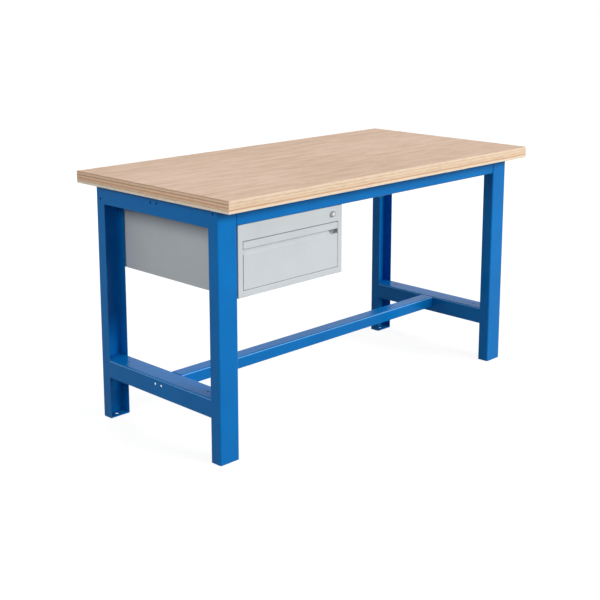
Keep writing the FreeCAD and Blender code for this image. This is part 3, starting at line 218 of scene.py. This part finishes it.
short_edge = add(tree, "ValToRGB", {"Fac": level.outputs[0]}, stops=[
    (0.0, "#FFF6E6"), (1.0, "#C69D7C"),
    (0.20, "#FFEEDA"), (0.23, "#D9AF8C"), (0.28, "#F7D7B8"), (0.38, "#F3D0AF"),
    (0.44, "#E5B28D"), (0.50, "#E9B994"), (0.56, "#FADCBE"), (0.64, "#F6D5B5"),
    (0.69, "#D2A583"), (0.73, "#D6AA88"), (0.79, "#FADBBD"), (0.90, "#F7D6B7"), (0.95, "#CCA482")])
# Cut fibre ends make the plies speckled, in dashes about 5 mm long, drawn 28 mm long to show.
DASH = np.array([28, 28, 3.5]) * MM
dash = add(tree, "Mapping", {"Vector": where, "Scale": tuple(1 / DASH)})
dash = add(tree, "TexNoise", {"Vector": dash.outputs[0], "Scale": 1.0, "Detail": 3.0})
cut = add(tree, "MapRange", {"Value": dash.outputs[0], "From Min": 0.48, "From Max": 0.72,
                             "To Min": 0.0, "To Max": 0.34})
# The normal picks the ramp: along X for a short edge, along Z for the face.
facing = add(tree, "SeparateXYZ", {"Vector": add(tree, "NewGeometry").outputs["Normal"]})
short = add(tree, "Math", {0: facing.outputs["X"]}, operation="ABSOLUTE")
edge = add(tree, "Mix", {SHARE: short.outputs[0], FIRST: long_edge.outputs[0], SECOND: short_edge.outputs[0]},
           data_type="RGBA")
edge = add(tree, "Mix", {SHARE: cut.outputs[0], FIRST: edge.outputs[MIXED], SECOND: linear("#BE8F6C")},
           data_type="RGBA")
flat = add(tree, "Math", {0: facing.outputs["Z"]}, operation="ABSOLUTE")
flat = add(tree, "MapRange", {"Value": flat.outputs[0], "From Min": 0.6, "From Max": 0.8})
colour = add(tree, "Mix", {SHARE: flat.outputs[0], FIRST: edge.outputs[MIXED], SECOND: face.outputs[MIXED]},
             data_type="RGBA")
pores = add(tree, "Bump", {"Height": fibre.outputs[0], "Strength": 0.15, "Distance": 0.2 * MM})
sheen = add(tree, "MapRange", {"Value": fibre.outputs[0], "To Min": 0.64, "To Max": 0.76})
add(tree, shader, {"Base Color": colour.outputs[MIXED], "Roughness": sheen.outputs[0],
                   "Normal": pores.outputs[0]})
print("made", plywood.name, "with plies from z =", round(board_low, 3), "to", round(board_high, 3))

# %% [markdown]
# ## Zinc-plated steel
# Bolts, nuts, screws and the telescopic runners are plated with a few micrometres of zinc. That is a
# metal seen directly, so it is fully metallic with a pale cool grey, and the fine spangle of the bath
# changes its gloss from spot to spot. The spots are 6 mm wide, as on rolled strip.

# %% Zinc plate
zinc, tree, shader = new_finish("zinc_plated_steel", Metallic=1.0, Roughness=0.34)
where = add(tree, "TexCoord").outputs["Object"]
spangle = add(tree, "TexVoronoi", {"Vector": where, "Scale": 1 / (6 * MM)}).outputs["Distance"]
tone = add(tree, "ValToRGB", {"Fac": spangle}, stops=[(0.0, "#C9CBCB"), (0.9, "#B9BCBE")])
gloss = add(tree, "MapRange", {"Value": spangle, "To Min": 0.28, "To Max": 0.42})
add(tree, shader, {"Base Color": tone.outputs[0], "Roughness": gloss.outputs[0]})
print("made", zinc.name)

# %% [markdown]
# ## Satin chrome
# The lock has a zinc casting with satin chrome on it: a metal with a soft, turned look, so its fine lathe
# lines are drawn as rings round the lock's own axis. The plug in the middle is drawn brighter than the ring
# round it, and the ring's outer side is painted lighter, as painted light on a side left in shade.

# %% Satin chrome
LOCK_AXIS, LOCK_RADIUS = (-0.233, 0.0, 0.716), 10 * MM
chrome, tree, shader = new_finish("satin_chrome", Metallic=1.0, Roughness=0.55)
where = add(tree, "TexCoord").outputs["Object"]
centred = add(tree, "VectorMath", {0: where, 1: LOCK_AXIS}, operation="SUBTRACT")
radius = add(tree, "VectorMath", {0: centred.outputs[0], 1: (1.0, 0.0, 1.0)}, operation="MULTIPLY")
radius = add(tree, "VectorMath", {0: radius.outputs[0]}, operation="LENGTH").outputs["Value"]
plate = add(tree, "MapRange", {"Value": radius, "From Max": LOCK_RADIUS})
# The outer side of the ring, at the ramp's end, is painted light on a side that the lamps leave in shade.
plate = add(tree, "ValToRGB", {"Fac": plate.outputs[0]}, stops=[
    (0.0, "#D6D8D8"), (1.0, "#C4C6C7"),
    (0.52, "#D2D4D5"), (0.56, "#7E8284"), (0.66, "#8E9193"), (0.94, "#8E9193")])
# Lathe lines are about 0.1 mm apart; they are drawn 0.5 mm apart.
rings = add(tree, "Math", {0: radius, 1: 0.5 * MM}, operation="DIVIDE")
rings = add(tree, "TexNoise", {"W": rings.outputs[0], "Scale": 1.0, "Detail": 2.0}, noise_dimensions="1D")
line = add(tree, "MapRange", {"Value": rings.outputs[0], "From Min": 0.3, "From Max": 0.7,
                              "To Min": 0.92, "To Max": 1.0})
tone = add(tree, "Mix", {SHARE: 1.0, FIRST: plate.outputs[0], SECOND: line.outputs[0]},
           data_type="RGBA", blend_type="MULTIPLY")
gloss = add(tree, "MapRange", {"Value": rings.outputs[0], "To Min": 0.5, "To Max": 0.62})
add(tree, shader, {"Base Color": tone.outputs[MIXED], "Roughness": gloss.outputs[0]})
print("made", chrome.name, "turned about", LOCK_AXIS)

# %% [markdown]
# ## Moulded plastic
# The latch is moulded in grey plastic with a fine matt grain, and its thumb hollow is painted a darker grey,
# as painted shade. An attribute on the latch's mesh says where the hollow is, so that the shade follows the
# form.

# %% Moulded plastic
plastic, tree, shader = new_finish("moulded_grey_plastic", Roughness=0.5, IOR=1.49)
where = add(tree, "TexCoord").outputs["Object"]
hollow = add(tree, "Attribute", attribute_name="hollow").outputs["Fac"]
# The darker grey in the thumb hollow is painted shade.
tone = add(tree, "Mix", {SHARE: hollow, FIRST: linear("#9DA2A4"), SECOND: linear("#5F6466")}, data_type="RGBA")
grain = add(tree, "TexNoise", {"Vector": where, "Scale": 1 / (0.8 * MM), "Detail": 1.0})
bump = add(tree, "Bump", {"Height": grain.outputs[0], "Strength": 0.1, "Distance": 0.1 * MM})
add(tree, shader, {"Base Color": tone.outputs[MIXED], "Normal": bump.outputs[0]})
print("made", plastic.name)

# %% [markdown]
# ## Dress the solids
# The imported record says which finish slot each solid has, so the materials go on by slot and no solid
# can be forgotten.

# %% Put the finishes on
finish = {"beech_plywood": plywood, "blue_powder_coat": blue, "grey_powder_coat": grey,
          "zinc_steel": zinc, "dark_plastic": plastic, "lock_chrome": chrome}
for row in frame["record"]["subparts"]:
    solid = frame["nodes"][row["node"]]
    solid.data.materials.clear()
    solid.data.materials.append(finish[row["material_slot"]])

# %% [markdown]
# ## Surfaces from grids
# Every new piece below is a surface worked out as whole arrays: a point for each pair of two parameters,
# kept in a grid of rows and columns. The faces then follow from the grid alone. Rows that shrink to a
# single point are merged, which closes the poles. Edges sharper than 32 degrees stay crisp.

# %% Grid to mesh
CRISP = math.radians(32)


def grid_faces(rows, columns, close_rows=False):
    """Quads of a grid whose columns close into a ring; close_rows also joins the last row to the first."""
    row = np.arange(rows if close_rows else rows - 1)[:, None]
    here = np.arange(columns)[None, :]
    there = (here + 1) % columns
    below = (row + 1) % rows
    corners = [row * columns + here, row * columns + there, below * columns + there, below * columns + here]
    return np.stack(corners, axis=-1).reshape(-1, 4)


def make_piece(name, points, faces, material, slot, body, *stands_for):
    """A mesh of points and faces with its poles merged and normals outward, riding on a body."""
    mesh = bpy.data.meshes.new(name)
    mesh.from_pydata(points.reshape(-1, 3).tolist(), [], faces.tolist())
    shape = bmesh.new()
    shape.from_mesh(mesh)
    bmesh.ops.remove_doubles(shape, verts=shape.verts, dist=1e-6)
    bmesh.ops.recalc_face_normals(shape, faces=shape.faces)
    shape.to_mesh(mesh)
    shape.free()
    mesh.polygons.foreach_set("use_smooth", np.ones(len(mesh.polygons), bool))
    mesh.set_sharp_from_angle(angle=CRISP)
    mesh.materials.append(material)
    piece = bpy.data.objects.new(name, mesh)
    bpy.context.scene.collection.objects.link(piece)
    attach(piece, body)
    if stands_for:
        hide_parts(*stands_for)
    print(f"{name}: {len(mesh.vertices)} points, {len(mesh.polygons)} faces, on {body}")
    return piece


# %% [markdown]
# ## Hexagon bolts and nuts
# A forged bolt head is a hexagon whose corners are cut by a 30 degree cone, which leaves a round face
# and six curved scallops. On a grid of rows and angles this is one formula: the radius of a hexagon is
# its half width over the cosine of the angle from the nearest flat's middle, and the cone lowers a point
# by its distance outside the round face times tan 30.

# %% Shapes of bolts and nuts
ANGLE = np.radians(np.arange(72) * 5.0)
ROUND_FACE, LEAD = 0.47, 0.15  # radius of the round face per width over flats; end chamfer per shank width


def hexagon(across_flats):
    """Radius at every angle, radius of the round face, and the cone's drop between the two."""
    edge = across_flats / 2 / np.cos((ANGLE + math.pi / 6) % (math.pi / 3) - math.pi / 6)
    face = ROUND_FACE * across_flats
    return edge, face, (edge - face) * math.tan(math.pi / 6)


def turned(radii, heights):
    """Points (r cos a, r sin a, h) for each row of radii and heights and every angle a."""
    radii, heights = np.broadcast_arrays(radii, heights)
    return np.stack([radii * np.cos(ANGLE), radii * np.sin(ANGLE), heights], axis=-1)


def rows_of(*values):
    """Stack numbers and rings into rows, one value for each angle."""
    return np.stack([np.broadcast_to(value, ANGLE.shape) for value in values])


def bolt(across_flats, head, shank, length):
    """Rows from the middle of the head, over its cone and flats, to the chamfered end of the shank."""
    edge, face, cone = hexagon(across_flats)
    lead = LEAD * shank
    radii = rows_of(0, face, edge, edge, shank / 2, shank / 2, shank / 2 - lead, 0)
    heights = rows_of(-head, -head, cone - head, 0, 0, length - lead, length, length)
    return turned(radii, heights)


def nut(across_flats, height, bore):
    """Rows round the section of a nut: bore, round face, cone, flats, cone, round face and back."""
    edge, face, cone = hexagon(across_flats)
    radii = rows_of(bore / 2, face, edge, edge, face, bore / 2)
    heights = rows_of(0, 0, cone, height - cone, height, height)
    return turned(radii, heights)


print("hexagon corner over flat:", round(float(hexagon(1.0)[0].max() * 2), 4))

# %% [markdown]
# ## Fasteners in their places
# The frame is held by M8 bolts at the rail ends and at the stretcher, the board by M6 screws from below,
# and the cabinet hangs on M6 bolts. All copies of a fastener are made at once: every place is added to
# the whole array of points, with the shape's own axis turned into the hole.

# %% Frame, worktop and cabinet fasteners
SIDE = np.array([-1.0, 1.0])
HEAD_X, NUT_X = 0.6535, 0.646  # where the frame's bolt heads and nuts bear on the sheet


def repeat(points, faces, places, axis):
    """Copies of a shape at the places, with its Z turned to the axis (each axis is plus or minus X or Z)."""
    places = np.array(places, float)
    axis = np.broadcast_to(np.array(axis, float), places.shape)
    side = np.broadcast_to((0.0, 1.0, 0.0), places.shape)
    turn = np.stack([np.cross(side, axis), side, axis], axis=1)
    copies = np.einsum("rck,nkj->nrcj", points, turn) + places[:, None, None, :]
    step = points.shape[0] * points.shape[1]
    return copies, (faces[None] + step * np.arange(len(places))[:, None, None]).reshape(-1, 4)


def fasteners(name, shape, places, axis, body="frame", closed=False):
    """One piece of many equal fasteners, standing for the node of that name."""
    faces = grid_faces(*shape.shape[:2], close_rows=closed)
    points, faces = repeat(shape, faces, places, axis)
    make_piece(name + "_set", points, faces, zinc, "zinc_steel", body, name)


rail_places = [(s, y, z) for s in SIDE for y in (-0.279, 0.279) for z in (0.755, 0.785)]
stretcher_places = [(s, y, 0.186) for s in SIDE for y in (-0.015, 0.015)]
joints = np.array(rail_places + stretcher_places)
inward = joints * (-1, 0, 0)
frame_bolt = bolt(across_flats=0.013, head=0.0053, shank=0.008, length=0.016)
fasteners("frame_bolts", frame_bolt, joints * (HEAD_X, 1, 1), inward)
frame_nut = nut(across_flats=0.013, height=0.0065, bore=0.008)
fasteners("frame_nuts", frame_nut, joints * (NUT_X, 1, 1), inward, closed=True)
under = [(x, y, 0.7975) for x in (-0.6895, 0.6895) for y in (-0.15, 0.15)]
under += [(x, y, 0.7975) for x in (-0.56, -0.19, 0.19, 0.56) for y in (-0.278, 0.278)]
worktop_screw = bolt(across_flats=0.010, head=0.004, shank=0.006, length=0.0285)
fasteners("worktop_screws", worktop_screw, under, (0, 0, 1))
hangers = np.array([(x, y, 0.0) for x in (-0.6, -0.23) for y in (-0.27, 0.27)])
cabinet_bolt = bolt(across_flats=0.010, head=0.004, shank=0.006, length=0.011)
fasteners("cabinet_bolts", cabinet_bolt, hangers + (0, 0, 0.7385), (0, 0, 1))
cabinet_nut = nut(across_flats=0.010, height=0.005, bore=0.006)
fasteners("cabinet_nuts", cabinet_nut, hangers + (0, 0, 0.7425), (0, 0, 1), closed=True)

# %% [markdown]
# ## Rivets with domed heads
# The runners' inner members are held to the drawer by blind rivets with low domed heads, three on each
# side. The head is a turned shape: a dome is the top of a sphere, so at radius r its height falls from the
# crown by the sphere's radius minus the square root of the sphere's radius squared less r squared.

# %% Domed rivets


def dome_head(width, head, shank, length):
    """Rows from the crown over a spherical cap and a short rim to the shank; the head lies below z = 0."""
    cap = 0.7 * head
    ball = (width ** 2 / 4 + cap ** 2) / (2 * cap)
    across = np.linspace(0, width / 2, 7)
    fall = ball - np.sqrt(ball ** 2 - across ** 2)
    radii = np.concatenate([across, [width / 2, shank / 2, shank / 2, 0]])
    heights = np.concatenate([fall - head, [0, 0, length, length]])
    return turned(radii[:, None], heights[:, None] + 0 * ANGLE)


CABINET_MIDDLE, RIVET_OUT = -0.415, 0.1966
RUNNER_FRONT, RUNNER_HEIGHT = -0.268, 0.5975
outward = np.array([(s, 0, 0) for s in SIDE for _ in range(3)])
rivet_x = CABINET_MIDDLE + RIVET_OUT * outward[:, 0]
rivet_y = np.tile(RUNNER_FRONT + np.array([0.06, 0.25, 0.44]), 2)
rivets = np.stack([rivet_x, rivet_y, np.full(6, RUNNER_HEIGHT)], axis=1)
rivet = dome_head(width=0.008, head=0.0012, shank=0.004, length=0.0034)
fasteners("drawer_rivets", rivet, rivets, outward, body="drawer")

# %% [markdown]
# ## Latch button
# A small moulded button sits at the right end of the grip and slides to the left to free the drawer. It
# fills the recess as a wedge: flat in front, sloping at the back, with a hollow for the thumb. The wedge
# is one triangular section carried along X, and the hollow is a dent in its front that fades in from
# the left, from the right and from below, so the form stays smooth. At the left end the wedge lies thin
# on the recess's slope and swells to its full depth over 8 mm.

# %% Latch button
LATCH_LEFT, LATCH_RIGHT = (corner.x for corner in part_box("drawer_latch"))
RECESS = np.array([-0.297, 0.646])  # front face and lower edge of the recess, Y and Z
FOOT, HEEL, CROWN = np.array([0.0008, 0.0015]), np.array([0.0151, 0.0176]), np.array([0.0008, 0.0176])
HOLLOW_DEPTH, HOLLOW_START, HOLLOW_FOOT = 0.005, 0.0085, 0.0030
SWELL, THIN, ROUNDING = 0.008, 0.15, 0.0004


def fade(t):
    """Smooth step: 0 below 0, 1 above 1, and 3t^2 - 2t^3 between."""
    t = np.clip(t, 0, 1)
    return t * t * (3 - 2 * t)


def dent(x, height, rise):
    """How far the thumb hollow goes in, from 0 to 1: the product of three smooth fades, the last over rise."""
    from_left = fade((x - LATCH_LEFT - HOLLOW_START) / 0.002)
    from_right = fade((LATCH_RIGHT - 0.001 - x) / 0.0015)
    return from_left * from_right * fade((height - HOLLOW_FOOT) / rise)


def edge_points(start, end, count):
    """Points from start towards end, without the end itself."""
    return start + np.linspace(0, 1, count, endpoint=False)[:, None] * (end - start)


section = np.concatenate([edge_points(FOOT, CROWN, 26), edge_points(CROWN, HEEL, 10),
                          edge_points(HEEL, FOOT, 14)])
middle = (FOOT + HEEL + CROWN) / 3
# Stations along X; at both ends the section shrinks a little, for a rounded rim, and then to a point.
latch_width = LATCH_RIGHT - LATCH_LEFT
stations = np.concatenate([[0, 0], np.linspace(ROUNDING, latch_width - ROUNDING, 60), [latch_width] * 2])
stations = stations + LATCH_LEFT
keep = np.concatenate([[0, 0.93], np.ones(60), [0.93, 0]])
rings = middle + keep[:, None, None] * (section - middle)
front = np.isclose(section[:, 0], FOOT[0])
# The slope's depth grows evenly with height; each point keeps only a share of its distance from it.
slope = FOOT[0] + (HEEL[0] - FOOT[0]) * (rings[..., 1] - FOOT[1]) / (HEEL[1] - FOOT[1])
swell = THIN + (1 - THIN) * fade((stations - LATCH_LEFT) / SWELL)
rings[..., 0] = slope - (slope - rings[..., 0]) * swell[:, None]
depth = HOLLOW_DEPTH * dent(stations[:, None], rings[..., 1], 0.0075) * front * (keep[:, None] == 1)
wedge = np.stack([np.broadcast_to(stations[:, None], depth.shape), RECESS[0] + rings[..., 0] + depth,
                  RECESS[1] + rings[..., 1]], axis=-1)
latch = make_piece("latch_button", wedge, grid_faces(*wedge.shape[:2]), plastic, "dark_plastic", "latch",
                   "drawer_latch")

# %% [markdown]
# ## Painted shade in the thumb hollow
# The hollow is painted darker than the button's rim, as painted shade in the recess. Each point behind the
# button's flat front gets the dent's own value, with a quicker rise, as an attribute that the plastic's two
# tones follow.

# %% Painted shade in the hollow
FLAT_FRONT = RECESS[0] + 0.00082
spots = np.empty(len(latch.data.vertices) * 3)
latch.data.vertices.foreach_get("co", spots)
spots = spots.reshape(-1, 3)
painted_shade = np.where(spots[:, 1] > FLAT_FRONT, dent(spots[:, 0], spots[:, 2] - RECESS[1], 0.002), 0.0)
latch.data.attributes.new("hollow", "FLOAT", "POINT").data.foreach_set("value", painted_shade.astype(np.float32))
print("hollow covers", int((painted_shade > 0.5).sum()), "of", len(painted_shade), "points")

# %% [markdown]
# ## Latch spring
# A coil of spring wire behind the front pushes the button back. A coil is a circle of wire carried along
# a helix: the centre line turns round the X axis while it moves along it, and the wire's own circle is
# laid out along X and along the coil's radius.

# %% Coil spring
SPRING_START, SPRING_END = -0.2658, -0.2458
COIL, WIRE, TURNS, STEPS = 0.0025, 0.00035, 7, 24
turn = np.linspace(0, TURNS * 2 * math.pi, TURNS * STEPS + 1)[:, None]
wire = np.radians(np.arange(10) * 36.0)[None, :]
length = SPRING_END - SPRING_START - 2 * WIRE
radius = COIL + WIRE * np.cos(wire) * np.ones_like(turn)
# The first and last circle shrink to a point, which closes the wire's ends.
radius[[0, -1]] = COIL
slip = np.ones_like(turn)
slip[[0, -1]] = 0
coil = np.stack([SPRING_START + WIRE + length * turn / turn.max() + slip * WIRE * np.sin(wire),
                 -0.2776 + radius * np.cos(turn), 0.654 + radius * np.sin(turn)], axis=-1)
spring = make_piece("latch_coil", coil, grid_faces(*coil.shape[:2]), zinc, "zinc_steel", "drawer",
                    "latch_spring")
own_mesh(spring)

# %% [markdown]
# ## Hemmed rim of the drawer
# A cut sheet edge is sharp, so the top edge of a steel drawer is folded over by a few millimetres. The
# hem is a narrow loop with a round top, carried along the two sides and the back: at each corner of the
# path the section is set on the mitre, so both runs keep their width.

# %% Drawer hem
HEM, HEM_HEIGHT = 0.0026, 0.008
OVERLAP, PROUD = 0.0001, 0.0004  # how far the hem reaches past the sheet's outside and above its edge
low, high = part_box("drawer_tray")
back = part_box("drawer_back")[1].y
around = np.radians(np.linspace(0, 180, 9))
across = np.concatenate([HEM / 2 * np.cos(around), [-HEM / 2, HEM / 2]])
upward = np.concatenate([HEM / 2 * np.sin(around) - HEM / 2, [-HEM_HEIGHT, -HEM_HEIGHT]])
corner = np.array([(low.x, low.y), (low.x, back), (high.x, back), (high.x, low.y)])
inner = np.array([(1, 0), (1, -1), (-1, -1), (-1, 0)], float)
line = corner + (HEM / 2 - OVERLAP) * inner
rim = np.zeros((6, len(across), 3))
rim[1:5, :, :2] = line[:, None, :] + inner[:, None, :] * across[None, :, None]
rim[1:5, :, 2] = high.z + PROUD + upward
rim[0], rim[5] = rim[1].mean(axis=0), rim[4].mean(axis=0)
make_piece("drawer_hem", rim, grid_faces(*rim.shape[:2]), grey, "grey_powder_coat", "drawer")

# %% [markdown]
# ## Seams of the cabinet front
# The bar over the drawer and the sill under it are welded between the two posts. The welds are ground
# flush before painting, so on the real front no seam shows. Each filled seam is a narrow wedge of weld
# metal: a triangle in the groove beside the post's round edge, carried upright along the joint.

# %% Filled seams
GROOVE, SKIN, END_GAP, LAP, SILL = 0.0022, 0.00002, 0.002, 0.0004, 0.020
OPENING = [corner.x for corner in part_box("cabinet_fascia")]
post_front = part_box("cabinet_left_side")[0].y
wedge_x, wedge_y = np.array([-GROOVE, LAP, LAP]), np.array([-SKIN, -SKIN, GROOVE])
# The triangle has its full size at both ends of the seam and shrinks to a point to close it.
size = np.array([0, 1, 1, 0])[:, None]
for bar in ("cabinet_fascia", "cabinet_bottom"):
    low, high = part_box(bar)
    top = high.z if bar == "cabinet_fascia" else low.z + SILL
    ends = np.array([low.z + END_GAP, low.z + END_GAP, top - END_GAP, top - END_GAP])
    for name, edge, turn in (("left", OPENING[0], 1), ("right", OPENING[1], -1)):
        seam = np.stack([edge + turn * size * wedge_x, post_front + size * wedge_y,
                         np.broadcast_to(ends[:, None], (4, 3))], axis=-1)
        make_piece(f"{bar}_seam_{name}", seam, grid_faces(4, 3), grey, "grey_powder_coat", "frame")

# %% [markdown]
# ## The camera
# The picture was taken from the left front corner, above the board, with a long lens and with the
# camera's back kept nearly upright, which is why the legs stand straight. A lens shift does the same
# here: it lowers the bench in the frame without tilting the camera as far.

# %% Camera
PITCH, YAW = 11.528, 45.394  # degrees down from level, and to the right of straight back
camera = bpy.data.objects.new("camera", bpy.data.cameras.new("camera"))
camera.data.sensor_width, camera.data.lens, camera.data.shift_y = 36.0, 69.6, -0.15
camera.location = (-2.9213, -2.8027, 1.4777)
camera.rotation_euler = (math.radians(90 - PITCH), 0.0, math.radians(-YAW))
bpy.context.scene.collection.objects.link(camera)
bpy.context.scene.camera = camera
print("camera at", tuple(round(v, 3) for v in camera.location), "lens", camera.data.lens)

# %% [markdown]
# ## A white floor
# The picture has a plain white ground. The floor is a pale sheet that still takes the bench's shadow: to
# the camera and in mirror-like surfaces it is a near-white paint with a share of light of its own. To the
# diffuse rays that light other surfaces it is a plain mid grey, so the bench isn't lit from below.

# %% Floor
REACH = 30.0  # half the sheet's width, in metres
floor_points = REACH * np.array([(-1, -1, 0), (1, -1, 0), (1, 1, 0), (-1, 1, 0)])
floor_mesh = bpy.data.meshes.new("studio_floor")
floor_mesh.from_pydata(floor_points.tolist(), [], [(0, 1, 2, 3)])
floor = bpy.data.objects.new("studio_floor", floor_mesh)
bpy.context.scene.collection.objects.link(floor)


def seen_directly(tree):
    """1 for camera, glossy and transmission rays, 0 for the diffuse rays that light other surfaces."""
    path = add(tree, "LightPath").outputs
    some = add(tree, "Math", {0: path["Is Camera Ray"], 1: path["Is Glossy Ray"]}, operation="MAXIMUM")
    return add(tree, "Math", {0: some.outputs[0], 1: path["Is Transmission Ray"]}, operation="MAXIMUM")


paper, tree, shader = new_finish("pale_floor_sheet", Roughness=0.9, Specular_IOR_Level=0.0)
seen = seen_directly(tree)
sheet = add(tree, "Mix", {SHARE: seen.outputs[0], FIRST: linear("#9C9C9C"), SECOND: linear("#E8E8E8")},
            data_type="RGBA")
add(tree, shader, {"Base Color": sheet.outputs[MIXED]})
glow = add(tree, "Emission", {"Color": (1.0, 1.0, 1.0, 1.0), "Strength": 1.19})
# The share of its own light grows from 0.72 under the bench, up to 1.2 m from the middle, to 0.86 at 3.5 m
# and beyond, where the lamps don't reach.
away = add(tree, "VectorMath", {0: add(tree, "TexCoord").outputs["Object"]}, operation="LENGTH")
share = add(tree, "MapRange", {"Value": away.outputs["Value"], "From Min": 1.2, "From Max": 3.5,
                               "To Min": 0.72, "To Max": 0.86})
weight = add(tree, "Math", {0: seen.outputs[0], 1: share.outputs[0]}, operation="MULTIPLY")
both = add(tree, "MixShader", {0: weight.outputs[0], 1: shader.outputs[0], 2: glow.outputs[0]})
add(tree, tree.nodes["Material Output"], {"Surface": both.outputs[0]})
floor_mesh.materials.append(paper)
print("floor", floor.name)

# %% [markdown]
# ## A white world
# The walls of a studio are far away and white. The world does the same as the floor: it looks white to the
# camera and in mirror-like surfaces, but lights the bench at a lower level, so the lamps give the shading.

# %% World
AMBIENT = 0.13
world = bpy.data.worlds.new("studio_world")
world.use_nodes = True
tree = world.node_tree
tree.nodes.clear()
seen = seen_directly(tree)
level = add(tree, "MapRange", {"Value": seen.outputs[0], "To Min": AMBIENT, "To Max": 1.0})
sky = add(tree, "Background", {"Color": (1.0, 1.0, 1.0, 1.0), "Strength": level.outputs[0]})
add(tree, "OutputWorld", {"Surface": sky.outputs[0]})
bpy.context.scene.world = world
print("world lights at", AMBIENT, "and looks white")

# %% [markdown]
# ## Lamps
# In the picture the long front is the brightest side, the board's top comes next and the left end lies
# in half shade. A large soft lamp far in front, a little to the right and about 22 degrees up, gives the
# front its light, and the overhanging board shades the rail under it. A weak lamp over the board and one
# at each end fill in, and a lamp behind keeps the far side readable.

# %% Softboxes


def softbox(name, place, target, size, power):
    """An area lamp at a place that points at a target; size is its width and height in metres."""
    lamp = bpy.data.objects.new(name, bpy.data.lights.new(name, "AREA"))
    lamp.data.shape, lamp.data.size, lamp.data.size_y = "RECTANGLE", *size
    lamp.data.energy = power
    away = np.array(place, float) - np.array(target, float)
    lamp.location = place
    yaw = math.atan2(away[0], -away[1])
    tilt = math.atan2(math.hypot(away[0], away[1]), away[2])
    lamp.rotation_euler = (tilt, 0.0, yaw)
    bpy.context.scene.collection.objects.link(lamp)
    print(f"{name}: {power} W, {math.degrees(tilt):.0f} degrees from straight down")
    return lamp


softbox("front_softbox", (2.2, -7.8, 3.8), (0.0, 0.0, 0.45), (4.6, 2.4), 612)
softbox("top_softbox", (-0.3, 0.2, 3.8), (-0.1, 0.0, 0.8), (3.0, 2.0), 23)
softbox("left_softbox", (-3.4, -0.8, 2.35), (0.0, 0.0, 0.45), (2.6, 1.4), 45)
softbox("right_softbox", (3.2, -0.6, 2.9), (0.0, 0.0, 0.45), (2.6, 1.4), 34)
rear = softbox("rear_softbox", (0.8, 4.2, 1.6), (0.0, 0.0, 0.4), (3.0, 1.2), 105)
# The lamp behind is kept out of mirror images, where it would whiten every face seen edge on.
rear.visible_glossy = False

# %% [markdown]
# ## Finish
# The view transform is set so that a colour shows as it was written.

bpy.context.scene.view_settings.view_transform = "Standard"
